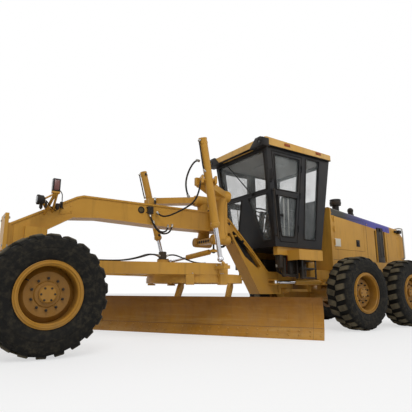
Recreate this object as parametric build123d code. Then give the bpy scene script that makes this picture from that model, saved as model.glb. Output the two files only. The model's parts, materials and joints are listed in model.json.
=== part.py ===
from build123d import *
import math
import os

# Motor grader, millimetres. +X forward, +Y the machine's left, +Z up.
# The origin is on the ground, below the middle of the overall box.
# A place along the machine is given as its distance behind the front axle.

# Driving sizes
OVERALL_LENGTH = 8850
TYRE_RADIUS = 650
TYRE_WIDTH = 445
TYRE_SIDES = 16
LUG_DEPTH = 30
LUG_SHARE = 0.56
LUG_REACH = 202
TRACK = 2154
WHEELBASE = 6140
TANDEM_SPACING = 1536
HINGE_BACK = WHEELBASE - 1500
CIRCLE_BACK = HINGE_BACK - 2090
BALL_BACK = -200
FIT_GAP = 0.3
RUNNING_GAP = 0.05
SWING_GAP = 6

# Side door hinges
HINGE_OUT = 12
HINGE_SHARES = (0.12, 0.5, 0.82)
KNUCKLE_RADIUS = 10
KNUCKLE_LENGTH = 60
LEAF_LENGTH = 50
LEAF_WALL = 7
LEAF_START = 3

# Wheels
BEAD_RADIUS = 318
RIM_FLANGE_RADIUS = 355
RIM_HALF_WIDTH = 178
RIM_WALL = 20
RIM_FLANGE_WALL = 14
DISC_WALL = 22
DISC_OFFSET = 50
HUB_RADIUS = 140
HUB_INBOARD = 60
HUB_OUTBOARD = 60
CAP_RADIUS = 93
CAP_LENGTH = 75
SPINDLE_RADIUS = 55
SPINDLE_REACH = 60

# Front frame
BEAM_WIDTH = 300
BEAM_TOP = 2015
BEAM_BOTTOM = 1677
BEAM_FLANGE_WALL = 26
BEAM_FLANGE_REACH = 16
NOSE_PLATE_BACK = -335
NOSE_PLATE_WALL = 45
NOSE_PLATE_WIDTH = 400
NOSE_PLATE_BOTTOM = 1184
NOSE_PLATE_TOP = 1652
NOSE_HOLE_RADIUS = 13
NOSE_HOLE_SPACING_Y = 340
NOSE_HOLE_SPACING_Z = 360
NECK_WIDTH = 220
HINGE_HUB_RADIUS = 130
HINGE_HUB_BOTTOM = 720
HINGE_HUB_TOP = 1190
HINGE_PIN_RADIUS = 60
HINGE_LUG_WALL = 50
LOWER_BOX_BOTTOM = 625
LOWER_BOX_TOP = 1029
LOWER_BOX_REAR = HINGE_BACK - 280
LEG_WINDOW_ROUND = 28

# Front axle
AXLE_HEIGHT = TYRE_RADIUS
AXLE_PIVOT_HEIGHT = 780
AXLE_PIN_RADIUS = 40
AXLE_HALF_DEPTH = 90
BOLSTER_WALL = 40
LEAN_PIN_OUT = 700
LEAN_PIN_RADIUS = 28
LEAN_CHEEK_WALL = 32
LEAN_BAR_OUT = 600
LEAN_BAR_HEIGHT = 800
LEAN_DRIFT = 14
LEAN_BAR_AHEAD = 30
KINGPIN_OUT = 870
KINGPIN_RADIUS = 30
KINGPIN_LUG_WALL = 40
KINGPIN_HALF_SPAN = 110
STEER_ARM = 170
STEER_ARM_HEIGHT = 512
TIE_ROD_RADIUS = 22
BALL_STUD_RADIUS = 26

# Drawbar and circle
DRAWBAR_BALL_HEIGHT = 1000
DRAWBAR_BALL_RADIUS = 60
DRAWBAR_PIN_RADIUS = 28
DRAWBAR_TOP = 1090
DRAWBAR_BOTTOM = 900
DRAWBAR_REAR = CIRCLE_BACK + 75
DRAWBAR_REAR_HALF = 840
DRAWBAR_BEAM = 130
CIRCLE_RADIUS = 790
CIRCLE_INNER_RADIUS = 690
CIRCLE_TEETH = 60
TOOTH_DEPTH = 26
CIRCLE_TOP = 880
CIRCLE_BOTTOM = 800
SHOE_ANGLES = (54, -54, 90, -90)
SHOE_BOTTOM = 770
SHOE_LIP = 34
GEARBOX_LEAD = 600
LIFT_EYE_BACK = CIRCLE_BACK - 105
LIFT_EYE_OUT = 900
LIFT_EYE_HEIGHT = 1145
LIFT_EYE_RADIUS = 48
LIFT_DRIFT = 15
STUD_RADIUS = 20
STUD_LENGTH = 85
STUD_SWEEP = 18
STUD_SLANT = 48

# Blade, drawn facing forward and then turned about the circle
BLADE_ANGLE = 34.75
BLADE_LENGTH = 3974
BLADE_HEIGHT = 595
BLADE_WALL = 22
EDGE_STEP = 8
EDGE_HEIGHT = 160
END_BIT_LENGTH = 150
END_BIT_RISE = 45
BLADE_LEAD = 120
BLADE_SAG = 120
BLADE_CLEARANCE = 5
BLADE_SHIFT_AT_REST = 60
RAIL_DEPTH = 50
ARM_OUT = 500
ARM_WALL = 60
TIP_PIN_LEAD = -200
TIP_PIN_HEIGHT = 330
TIP_PIN_RADIUS = 25

# Rear frame
RAIL_IN = 300
RAIL_WALL = 120
RAIL_BOTTOM = 900
RAIL_TOP = 1080
REAR_AXLE_RADIUS = 150
CASE_IN = 620
CASE_WIDTH = 220
CASE_HALF_HEIGHT = 200
BUMPER_FRONT = WHEELBASE + 1910
BUMPER_DEPTH = 80
BUMPER_TOP = 1335

# Cab, with the foot and the head of its outer walls
CAB_FOOT_HEIGHT = 1440
CAB_HEAD_HEIGHT = 3190
CAB_FOOT_FRONT = HINGE_BACK - 856
CAB_FOOT_REAR = HINGE_BACK + 307
CAB_FOOT_HALF = 665
CAB_HEAD_FRONT = HINGE_BACK - 1107
CAB_HEAD_REAR = HINGE_BACK + 544
CAB_HEAD_HALF = 770
DOOR_FOOT = CAB_FOOT_HEIGHT + 80
DOOR_HEAD = CAB_HEAD_HEIGHT - 60
GLASS_HEAD = DOOR_HEAD - 60
SEAT_HEIGHT = CAB_FOOT_HEIGHT + 460
ARMREST_HEIGHT = SEAT_HEIGHT + 290
BACKREST_TOP = SEAT_HEIGHT + 740
CAB_WALL = 60
STEERING_RADIUS = 195
GLASS_WALL = 8
DOOR_GAP = 6
WINDOW_ROUND = 55
ROOF_WALL = 120
ROOF_ROUND = 70
ROOF_FRONT = CAB_HEAD_FRONT - 123
ROOF_REAR = CAB_HEAD_REAR + 26
ROOF_HALF = 830

# Hood
HOOD_FRONT = CAB_HEAD_REAR + 236
HOOD_REAR = BUMPER_FRONT - 77
HOOD_HALF = 525
HOOD_BOTTOM = RAIL_TOP
HOOD_FRONT_TOP = 2350
HOOD_REAR_TOP = 2080
HOOD_WALL = 25
HOOD_ROUND = 60

FRONT_AXLE_X = OVERALL_LENGTH / 2 - TYRE_RADIUS

# The angled blade reaches further to the left, so the machine's middle plane stands
# this much to the right of the middle of the overall box.
BLADE_TURN = math.radians(BLADE_ANGLE)
SIDE_OFFSET = (
    BLADE_SHIFT_AT_REST * math.cos(BLADE_TURN) + (BLADE_LEAD - (BLADE_SAG + BLADE_WALL) / 2) * math.sin(BLADE_TURN)
)


def at(back):
    return FRONT_AXLE_X - back


def block(back, across, height):
    (b0, b1), (y0, y1), (z0, z1) = back, across, height
    place = Pos((at(b0) + at(b1)) / 2, (y0 + y1) / 2, (z0 + z1) / 2)
    return place * Box(abs(b1 - b0), abs(y1 - y0), abs(z1 - z0))


def bar(start, end, radius):
    # A round bar between two points given as (back, across, height).
    p = Vector(at(start[0]), start[1], start[2])
    q = Vector(at(end[0]), end[1], end[2])
    low = (Align.CENTER, Align.CENTER, Align.MIN)
    return Plane(origin=p, z_dir=q - p) * Cylinder(radius, (q - p).length, align=low)


def from_hinge(outline):
    # Points given as a distance behind the articulation, and a height.
    return [(HINGE_BACK + back, height) for back, height in outline]


def side_face(outline, across):
    # A face from an outline of (back, height) points.
    return make_face(Polyline(*[(at(back), across, height) for back, height in outline], close=True))


def side_plate(outline, across, rounding=0):
    # An outline of (back, height) points, as thick as the span across, its corners rounded.
    face = side_face(outline, across[0])
    if rounding:
        face = fillet(face.vertices(), rounding)
    return extrude(face, amount=across[1] - across[0], dir=(0, 1, 0))


def plan_plate(outline, height, rounding=0):
    # An outline of (back, across) points seen from above, its corners rounded.
    points = [(at(back), across, height[0]) for back, across in outline]
    face = make_face(Polyline(*points, close=True))
    if rounding:
        face = fillet(face.vertices(), rounding)
    return extrude(face, amount=height[1] - height[0], dir=(0, 0, 1))


def front_plate(outline, back, rounding=0):
    # An outline of (across, height) points seen from the front, its corners rounded.
    points = [(at(back[1]), across, height) for across, height in outline]
    face = make_face(Polyline(*points, close=True))
    if rounding:
        face = fillet(face.vertices(), rounding)
    return extrude(face, amount=back[1] - back[0], dir=(1, 0, 0))


def mirrored(shape):
    return mirror(shape, about=Plane.XZ)


def both(shape):
    return shape + mirrored(shape)


def ball(back, across, height, radius):
    return Pos(at(back), across, height) * Sphere(radius)


def spun(profile, back, across, height):
    # A (radius, across) outline turned about a wheel axis.
    points = [(r, y, 0) for r, y in profile]
    ring = revolve(make_face(Polyline(*points, close=True)), axis=Axis.Y)
    return Pos(at(back), across, height) * ring


def hinge_axis(edge):
    # The start, the direction along the edge and the outward direction of a side door's hinge.
    start, end = (Vector(at(b), y, z) for b, y, z in edge)
    along = (end - start).normalized()
    up = Vector(0, along.Y, along.Z).normalized()
    outward = up.cross(Vector(1, 0, 0))
    return start + outward * HINGE_OUT, along, outward


def knuckles(edge, ahead, moving):
    # Hinge knuckles with their leaves. ahead is 1 where the door lies ahead of its edge, else -1.
    start, along, outward = hinge_axis(edge)
    length = (Vector(at(edge[1][0]), *edge[1][1:]) - Vector(at(edge[0][0]), *edge[0][1:])).length
    pieces = []
    for share in HINGE_SHARES:
        lift = 0 if moving else KNUCKLE_LENGTH + FIT_GAP
        foot = start + along * (length * share + lift)
        low = (Align.CENTER, Align.CENTER, Align.MIN)
        pieces.append(Plane(origin=foot, z_dir=along) * Cylinder(KNUCKLE_RADIUS, KNUCKLE_LENGTH, align=low))
        reach = (ahead if moving else -ahead) * (LEAF_LENGTH / 2 + LEAF_START)
        middle = foot + along * (KNUCKLE_LENGTH / 2) + Vector(reach, 0, 0)
        middle -= outward * (HINGE_OUT - LEAF_WALL / 2 + 1)
        leaf = Box(LEAF_LENGTH, LEAF_WALL, KNUCKLE_LENGTH - 1)
        pieces.append(Plane(origin=middle, x_dir=(1, 0, 0), z_dir=Vector(0, along.Y, along.Z)) * leaf)
    return Part() + pieces


def keep(shape, name):
    export_step(Pos(0, -SIDE_OFFSET, 0) * shape, f"parts/{name}.step")
    print(name, round(shape.volume / 1e6, 2))


def ring_face(radius, across):
    # A polygon about the wheel's axis whose flats lie at the radius.
    corner = radius / math.cos(math.pi / TYRE_SIDES)
    angles = [(n + 0.5) * math.tau / TYRE_SIDES for n in range(TYRE_SIDES)]
    return make_face(Polyline(*[(corner * math.cos(a), across, corner * math.sin(a)) for a in angles], close=True))


def lug_row(phase, reach):
    # A row of lugs with the grooves between them, from the middle of the tread outwards.
    pitch = math.tau / TYRE_SIDES
    points = []
    for n in range(TYRE_SIDES):
        middle, half = (n + phase) * pitch, LUG_SHARE * pitch / 2
        for angle, radius in (
            (-half, TYRE_RADIUS - LUG_DEPTH), (-half, TYRE_RADIUS), (half, TYRE_RADIUS),
            (half, TYRE_RADIUS - LUG_DEPTH),
        ):
            points.append((radius * math.cos(middle + angle), 0, radius * math.sin(middle + angle)))
    ring = make_face(Polyline(*points, close=True)) - ring_face(TYRE_RADIUS * 0.8, 0)
    return extrude(ring, amount=reach, dir=(0, 1, 0))


def tyre(back, side):
    half = TYRE_WIDTH / 2
    sections = [
        # across, radius of the flats
        (RIM_HALF_WIDTH, RIM_FLANGE_RADIUS + 2), (half, TYRE_RADIUS * 0.76),
        (LUG_REACH - 6, TYRE_RADIUS - LUG_DEPTH - 16),
    ]
    places = [(-y, r) for y, r in sections] + [(y, r) for y, r in reversed(sections)]
    body = loft([ring_face(r, y) for y, r in places], ruled=True)
    body += lug_row(0, LUG_REACH)
    body += lug_row(0.5, -LUG_REACH)
    body -= extrude(ring_face(BEAD_RADIUS + FIT_GAP, -TYRE_WIDTH), amount=2 * TYRE_WIDTH, dir=(0, 1, 0))
    # A lug's edge stands on the ground
    rolled = Rot(0, LUG_SHARE * 180 / TYRE_SIDES, 0) * body
    return Pos(at(back), side * TRACK / 2, AXLE_HEIGHT) * rolled


def rim(back, side):
    # One dished wheel: barrel with flanges, cone, disc, hub and cap, as (radius, across) from the wheel's middle.
    inner = BEAD_RADIUS - RIM_WALL
    edge = RIM_HALF_WIDTH + RIM_FLANGE_WALL
    disc_out = DISC_OFFSET + DISC_WALL
    hub_out = disc_out + HUB_OUTBOARD
    outline = [
        (0, -HUB_INBOARD), (HUB_RADIUS, -HUB_INBOARD), (HUB_RADIUS, DISC_OFFSET - 30), (inner - 70, DISC_OFFSET - 30),
        (inner, DISC_OFFSET - 80), (inner, -edge), (RIM_FLANGE_RADIUS, -edge), (RIM_FLANGE_RADIUS, -RIM_HALF_WIDTH),
        (BEAD_RADIUS, -RIM_HALF_WIDTH), (BEAD_RADIUS, RIM_HALF_WIDTH), (RIM_FLANGE_RADIUS, RIM_HALF_WIDTH),
        (RIM_FLANGE_RADIUS, edge), (inner + 8, edge), (inner, edge - 12), (inner, disc_out - 60),
        (inner - 60, disc_out), (HUB_RADIUS, disc_out), (HUB_RADIUS - 12, hub_out - CAP_LENGTH + 30),
        (CAP_RADIUS, hub_out - CAP_LENGTH + 34), (CAP_RADIUS, hub_out - 12), (CAP_RADIUS - 14, hub_out), (0, hub_out),
    ]
    wheel = spun(outline, back, TRACK / 2, AXLE_HEIGHT)
    start, reach = TRACK / 2 - HUB_INBOARD - 1, TRACK / 2 + SPINDLE_REACH + FIT_GAP
    wheel -= bar((back, start, AXLE_HEIGHT), (back, reach, AXLE_HEIGHT), SPINDLE_RADIUS + RUNNING_GAP)
    return wheel if side > 0 else mirrored(wheel)


LEG_WINDOW = from_hinge(
    [(-1470, 1830), (-1100, 1490), (-940, 1340), (-740, 1110), (-800, 1070), (-1120, 1290), (-1320, 1560)])


def front_frame():
    half = BEAM_WIDTH / 2
    leg = LOWER_BOX_REAR
    outline = [
        # back, height
        (NOSE_PLATE_BACK, 1536), (-313, 1536), (503, 1984), (600, BEAM_TOP), (leg - 1310, BEAM_TOP),
        (leg - 1162, BEAM_TOP - 110), (leg - 800, 1545), (leg - 695, 1440), (leg - 300, LOWER_BOX_TOP),
        (leg, LOWER_BOX_TOP), (leg, LOWER_BOX_BOTTOM), (leg - 511, LOWER_BOX_BOTTOM),
        (leg - 1170, BEAM_BOTTOM), (CIRCLE_BACK - 592, BEAM_BOTTOM), (850, 1711), (469, 1680), (-295, 1224),
        (NOSE_PLATE_BACK, 1224),
    ]
    frame = side_plate(outline, (-half, half))
    # Webs set in from the flanges' edges
    pocket = side_face(outline, -half)
    pocket = extrude(offset(pocket, -BEAM_FLANGE_WALL, kind=Kind.INTERSECTION), amount=BEAM_FLANGE_REACH, dir=(0, 1, 0))
    span = block((NOSE_PLATE_BACK + 40, LOWER_BOX_REAR - 60), (-half - 1, half + 1), (LOWER_BOX_BOTTOM, BEAM_TOP))
    span -= block((-260, 260), (-half - 2, half + 2), (1000, 1510))
    span -= block((CIRCLE_BACK + 200, CIRCLE_BACK + 500), (-half - 2, half + 2), (BEAM_BOTTOM, BEAM_TOP))
    frame -= both(pocket & span)
    window = side_face(LEG_WINDOW, -half - 1)
    frame -= extrude(fillet(window.vertices(), LEG_WINDOW_ROUND), amount=BEAM_WIDTH + 2, dir=(0, 1, 0))
    nose_front = NOSE_PLATE_BACK - NOSE_PLATE_WALL
    plate_half = NOSE_PLATE_WIDTH / 2
    plate = block((nose_front, NOSE_PLATE_BACK), (-plate_half, plate_half), (NOSE_PLATE_BOTTOM, NOSE_PLATE_TOP))
    middle = (NOSE_PLATE_BOTTOM + NOSE_PLATE_TOP) / 2
    for y in (-NOSE_HOLE_SPACING_Y / 2, NOSE_HOLE_SPACING_Y / 2):
        for z in (middle - NOSE_HOLE_SPACING_Z / 2, middle + NOSE_HOLE_SPACING_Z / 2):
            plate -= bar((nose_front - 1, y, z), (NOSE_PLATE_BACK + 1, y, z), NOSE_HOLE_RADIUS)
    frame += plate
    # Bolster that carries the axle's pivot and the drawbar's ball
    inner, outer = AXLE_HALF_DEPTH + SWING_GAP, AXLE_HALF_DEPTH + SWING_GAP + BOLSTER_WALL
    frame += both(block((-outer, outer), (BEAM_WIDTH / 2, 210), (AXLE_PIVOT_HEIGHT + 110, 1500)))
    cradle = [(210, 960), (155, 960), (155, AXLE_PIVOT_HEIGHT + 75), (-155, AXLE_PIVOT_HEIGHT + 75), (-155, 960),
              (-210, 960), (-210, 860), (-90, 690), (90, 690), (210, 860)]
    for b0, b1 in ((-outer, -inner), (inner, outer)):
        frame += front_plate(cradle, (b0, b1))
    frame += bar((-outer, 0, AXLE_PIVOT_HEIGHT), (outer, 0, AXLE_PIVOT_HEIGHT), AXLE_PIN_RADIUS)
    frame += block((NOSE_PLATE_BACK, -300), (-90, 90), (890, 1300))
    for z0, z1 in ((890, 920), (1080, 1130)):
        frame += block((-301, BALL_BACK + 45), (-60, 60), (z0, z1))
    pin_reach = DRAWBAR_PIN_RADIUS + RUNNING_GAP
    frame -= bar((BALL_BACK, 0, 880), (BALL_BACK, 0, 1140), pin_reach)
    # Neck and hub of the articulation
    hub = bar((HINGE_BACK, 0, HINGE_HUB_BOTTOM), (HINGE_BACK, 0, HINGE_HUB_TOP), HINGE_HUB_RADIUS)
    hub += block((LOWER_BOX_REAR - 1, HINGE_BACK), (-NECK_WIDTH / 2, NECK_WIDTH / 2), (740, 1010))
    hub -= bar((HINGE_BACK, 0, 700), (HINGE_BACK, 0, 1200), HINGE_PIN_RADIUS + RUNNING_GAP)
    frame += hub
    b, y, z = ARTICULATION[1]
    for z0, z1 in ((z - EYE_HALF - 25, z - EYE_HALF - FIT_GAP), (z + EYE_HALF + FIT_GAP, z + EYE_HALF + 25)):
        frame += both(block((b - 50, b + 50), (half - BEAM_FLANGE_REACH - 1, y + 45), (z0, z1)))
    return frame


def lift_arms():
    middle = CIRCLE_BACK + 380
    saddle = both(block((middle - 170, middle + 110), (BEAM_WIDTH / 2, 235), (BEAM_BOTTOM + 23, BEAM_TOP - 25)))
    saddle += both(block((middle - 70, middle + 70), (225, 330), (1460, 2310)))
    for z, radius in ((2278, 72), (1520, 60)):
        saddle += both(bar((middle - 210, 280, z), (middle + 123, 280, z), radius))
    saddle += block((middle - 195, middle - 45), (-280, 280), (LINK_BAR_BOTTOM, LINK_BAR_BOTTOM + LINK_BAR_DEPTH))
    b, y, z = CENTRE_SHIFT[0]
    saddle -= bar((b, y, 1400), (b, y, 1580), CENTRE_SHIFT_PIN_RADIUS + RUNNING_GAP)
    arm = plan_plate(
        [(middle - 170, 210), (middle + 70, 210), (middle + 70, 330), (middle - 630, 850), (middle - 880, 850),
         (middle - 880, 790), (middle - 756, 700)],
        (2235, 2345), 14,
    )
    b, y, z = lift_point(LIFT_TRUNNION_SHARE)
    near, far = LIFT_BARREL_RADIUS + TINE_GAP, LIFT_BARREL_RADIUS + TINE_GAP + TINE_WALL
    fork = Part()
    for sign in (1, -1):
        fork += block((b + sign * near, b + sign * far), (y - TINE_REACH, y + 45), (2235, 2345))
    arm += trunnion_turned(fork)
    arm -= trunnion_turned(bar((b - 200, y, z), (b + 200, y, z), TRUNNION_RADIUS + RUNNING_GAP))
    return saddle + both(arm)


# Short cylinders: barrel's pin, rod's pin, barrel radius, rod radius
CENTRE_SHIFT = ((CIRCLE_BACK + 260, 190, 1338), (CIRCLE_BACK - 130, -610, 1190), 45, 25)
ARTICULATION = ((HINGE_BACK + 510, 490, 840), (HINGE_BACK - 520, 265, 840), 48, 28)
CENTRE_SHIFT_BALL = 40
CENTRE_SHIFT_PIN_RADIUS = 16
LINK_BAR_BOTTOM = 1465
LINK_BAR_DEPTH = 90
SOCKET_RADIUS = 58
SOCKET_HALF = 20
EYE_HALF = 24
EYE_NECK_RADIUS = 20
EYE_PIN_RADIUS = 16

# Lift cylinders: the eye below and the barrel's head above, as (back, across, height)
LIFT_HEAD = (CIRCLE_BACK - 520, 1044, 2900)
LIFT_BARREL_RADIUS = 62
LIFT_ROD_RADIUS = 34
LIFT_BARREL_SHARE = 0.27
LIFT_ROD_SHARE = 0.56
LIFT_TRUNNION_SHARE = 0.652
TRUNNION_RADIUS = 22
TINE_GAP = 24
TINE_WALL = 32
TINE_REACH = 280
# The trunnion points away from the drawbar's ball, square to the way the eye swings
TRUNNION_TURN = math.degrees(math.atan2(LIFT_EYE_OUT, LIFT_EYE_BACK - BALL_BACK))


def lift_point(share):
    eye = (LIFT_EYE_BACK, LIFT_EYE_OUT, LIFT_EYE_HEIGHT)
    return tuple(a + (b - a) * share for a, b in zip(eye, LIFT_HEAD))


def trunnion_turned(shape):
    b, y, z = lift_point(LIFT_TRUNNION_SHARE)
    centre = Pos(at(b), y, z)
    return centre * Rot(0, 0, -TRUNNION_TURN) * centre.inverse() * shape


def lift_barrel():
    start, end = lift_point(LIFT_BARREL_SHARE), lift_point(1)
    barrel = bar(start, end, LIFT_BARREL_RADIUS)
    barrel -= bar(lift_point(LIFT_BARREL_SHARE - 0.01), lift_point(0.97), LIFT_ROD_RADIUS + RUNNING_GAP)
    b, y, z = lift_point(LIFT_TRUNNION_SHARE)
    reach = LIFT_BARREL_RADIUS + TINE_GAP + TINE_WALL
    for sign in (1, -1):
        barrel += trunnion_turned(bar((b + sign * 50, y, z), (b + sign * reach, y, z), TRUNNION_RADIUS))
    return barrel


def lift_rod():
    rod = bar(lift_point(0.02), lift_point(LIFT_ROD_SHARE), LIFT_ROD_RADIUS)
    return rod + ball(LIFT_EYE_BACK, LIFT_EYE_OUT, LIFT_EYE_HEIGHT, LIFT_EYE_RADIUS)


def front_axle():
    depth = AXLE_HALF_DEPTH
    beam = front_plate(
        [
            (-LEAN_PIN_OUT, 580), (-300, 570), (300, 570), (LEAN_PIN_OUT, 580), (LEAN_PIN_OUT, 720),
            (250, 740), (130, AXLE_PIVOT_HEIGHT + 70), (-130, AXLE_PIVOT_HEIGHT + 70), (-250, 740),
            (-LEAN_PIN_OUT, 720),
        ],
        (-depth, depth),
    )
    for side in (1, -1):
        y = side * LEAN_PIN_OUT
        beam += bar((-depth, y, AXLE_HEIGHT), (depth, y, AXLE_HEIGHT), 70)
        beam -= bar((-depth - 1, y, AXLE_HEIGHT), (depth + 1, y, AXLE_HEIGHT), LEAN_PIN_RADIUS + RUNNING_GAP)
    return beam - bar(
        (-depth - 1, 0, AXLE_PIVOT_HEIGHT), (depth + 1, 0, AXLE_PIVOT_HEIGHT), AXLE_PIN_RADIUS + RUNNING_GAP
    )


def lean_bracket():
    # Two cheeks either side of the beam's end, one pin, and the kingpin's two lugs.
    inner = AXLE_HALF_DEPTH + SWING_GAP
    outer = inner + LEAN_CHEEK_WALL
    cheek = [(LEAN_PIN_OUT - 60, 590), (775, 560), (812, 560), (812, 740), (775, 740),
             (LEAN_PIN_OUT - 20, 760), (LEAN_BAR_OUT + 30, 835), (LEAN_BAR_OUT - 35, 815), (LEAN_BAR_OUT - 35, 770)]
    bracket = front_plate(cheek, (inner, outer)) + front_plate(cheek, (-outer, -inner))
    bracket += block((-outer, outer), (775, 812), (560, 740))
    bracket += bar((-outer, LEAN_PIN_OUT, AXLE_HEIGHT), (outer, LEAN_PIN_OUT, AXLE_HEIGHT), LEAN_PIN_RADIUS)
    span = KINGPIN_HALF_SPAN
    for z0, z1 in ((AXLE_HEIGHT - span, AXLE_HEIGHT - span + KINGPIN_LUG_WALL),
                   (AXLE_HEIGHT + span - KINGPIN_LUG_WALL, AXLE_HEIGHT + span)):
        lug = block((-50, 50), (800, KINGPIN_OUT), (z0, z1)) + bar((0, KINGPIN_OUT, z0), (0, KINGPIN_OUT, z1), 50)
        bracket += lug
    low, high = AXLE_HEIGHT - span - 1, AXLE_HEIGHT + span + 1
    bracket -= bar((0, KINGPIN_OUT, low), (0, KINGPIN_OUT, high), KINGPIN_RADIUS + RUNNING_GAP)
    bracket += bar((-outer - 48, LEAN_BAR_OUT, LEAN_BAR_HEIGHT), (-outer, LEAN_BAR_OUT, LEAN_BAR_HEIGHT), 16)
    return bracket


def knuckle():
    span = KINGPIN_HALF_SPAN
    low, high = AXLE_HEIGHT - span, AXLE_HEIGHT + span
    pin = bar((0, KINGPIN_OUT, STEER_ARM_HEIGHT - 20), (0, KINGPIN_OUT, high + 10), KINGPIN_RADIUS)
    wall = KINGPIN_LUG_WALL + 1
    pin += bar((0, KINGPIN_OUT, low + wall), (0, KINGPIN_OUT, high - wall), 48)
    reach = TRACK / 2 + SPINDLE_REACH
    pin += bar((0, KINGPIN_OUT, AXLE_HEIGHT), (0, reach, AXLE_HEIGHT), SPINDLE_RADIUS)
    pin += block((0, STEER_ARM), (KINGPIN_OUT - 22, KINGPIN_OUT + 22), (STEER_ARM_HEIGHT - 16, STEER_ARM_HEIGHT + 16))
    pin += bar((0, KINGPIN_OUT, STEER_ARM_HEIGHT - 20), (0, KINGPIN_OUT, low - 1), 42)
    boss = bar(
        (STEER_ARM, KINGPIN_OUT, STEER_ARM_HEIGHT - 16), (STEER_ARM, KINGPIN_OUT, STEER_ARM_HEIGHT + 16), 30
    )
    pin += boss
    hole = bar((STEER_ARM, KINGPIN_OUT, 400), (STEER_ARM, KINGPIN_OUT, 600), 12 + RUNNING_GAP)
    return pin - hole


TIE_ROD_HEIGHT = STEER_ARM_HEIGHT - 56


def tie_rod_end():
    stud = bar((STEER_ARM, KINGPIN_OUT, TIE_ROD_HEIGHT), (STEER_ARM, KINGPIN_OUT, STEER_ARM_HEIGHT + 16), 12)
    return stud + ball(STEER_ARM, KINGPIN_OUT, TIE_ROD_HEIGHT, BALL_STUD_RADIUS)


def tie_rod():
    inside = KINGPIN_OUT - BALL_STUD_RADIUS - 4
    rod = bar((STEER_ARM, -inside, TIE_ROD_HEIGHT), (STEER_ARM, inside, TIE_ROD_HEIGHT), TIE_ROD_RADIUS)
    for y in (KINGPIN_OUT, -KINGPIN_OUT):
        eye = bar((STEER_ARM, y, TIE_ROD_HEIGHT - 13), (STEER_ARM, y, TIE_ROD_HEIGHT + 13), 35)
        rod += eye - ball(STEER_ARM, y, TIE_ROD_HEIGHT, BALL_STUD_RADIUS + FIT_GAP)
    return rod


def lean_bar():
    outer = AXLE_HALF_DEPTH + SWING_GAP + LEAN_CHEEK_WALL
    front = -outer - LEAN_BAR_AHEAD
    rod = bar((front, -LEAN_BAR_OUT, LEAN_BAR_HEIGHT), (front, LEAN_BAR_OUT, LEAN_BAR_HEIGHT), 14)
    # The right-hand eye is the open one of the linkage, so its bore leaves room to drift
    for y, radius, bore in ((LEAN_BAR_OUT, 32, 16 + RUNNING_GAP), (-LEAN_BAR_OUT, 46, 16 + LEAN_DRIFT)):
        rod += bar((front - 14, y, LEAN_BAR_HEIGHT), (front + 14, y, LEAN_BAR_HEIGHT), radius)
        rod -= bar((front - 20, y, LEAN_BAR_HEIGHT), (front + 20, y, LEAN_BAR_HEIGHT), bore)
    return rod


def drawbar_ball():
    pin = bar((BALL_BACK, 0, 885), (BALL_BACK, 0, 1135), DRAWBAR_PIN_RADIUS)
    return pin + ball(BALL_BACK, 0, DRAWBAR_BALL_HEIGHT, DRAWBAR_BALL_RADIUS)


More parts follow.
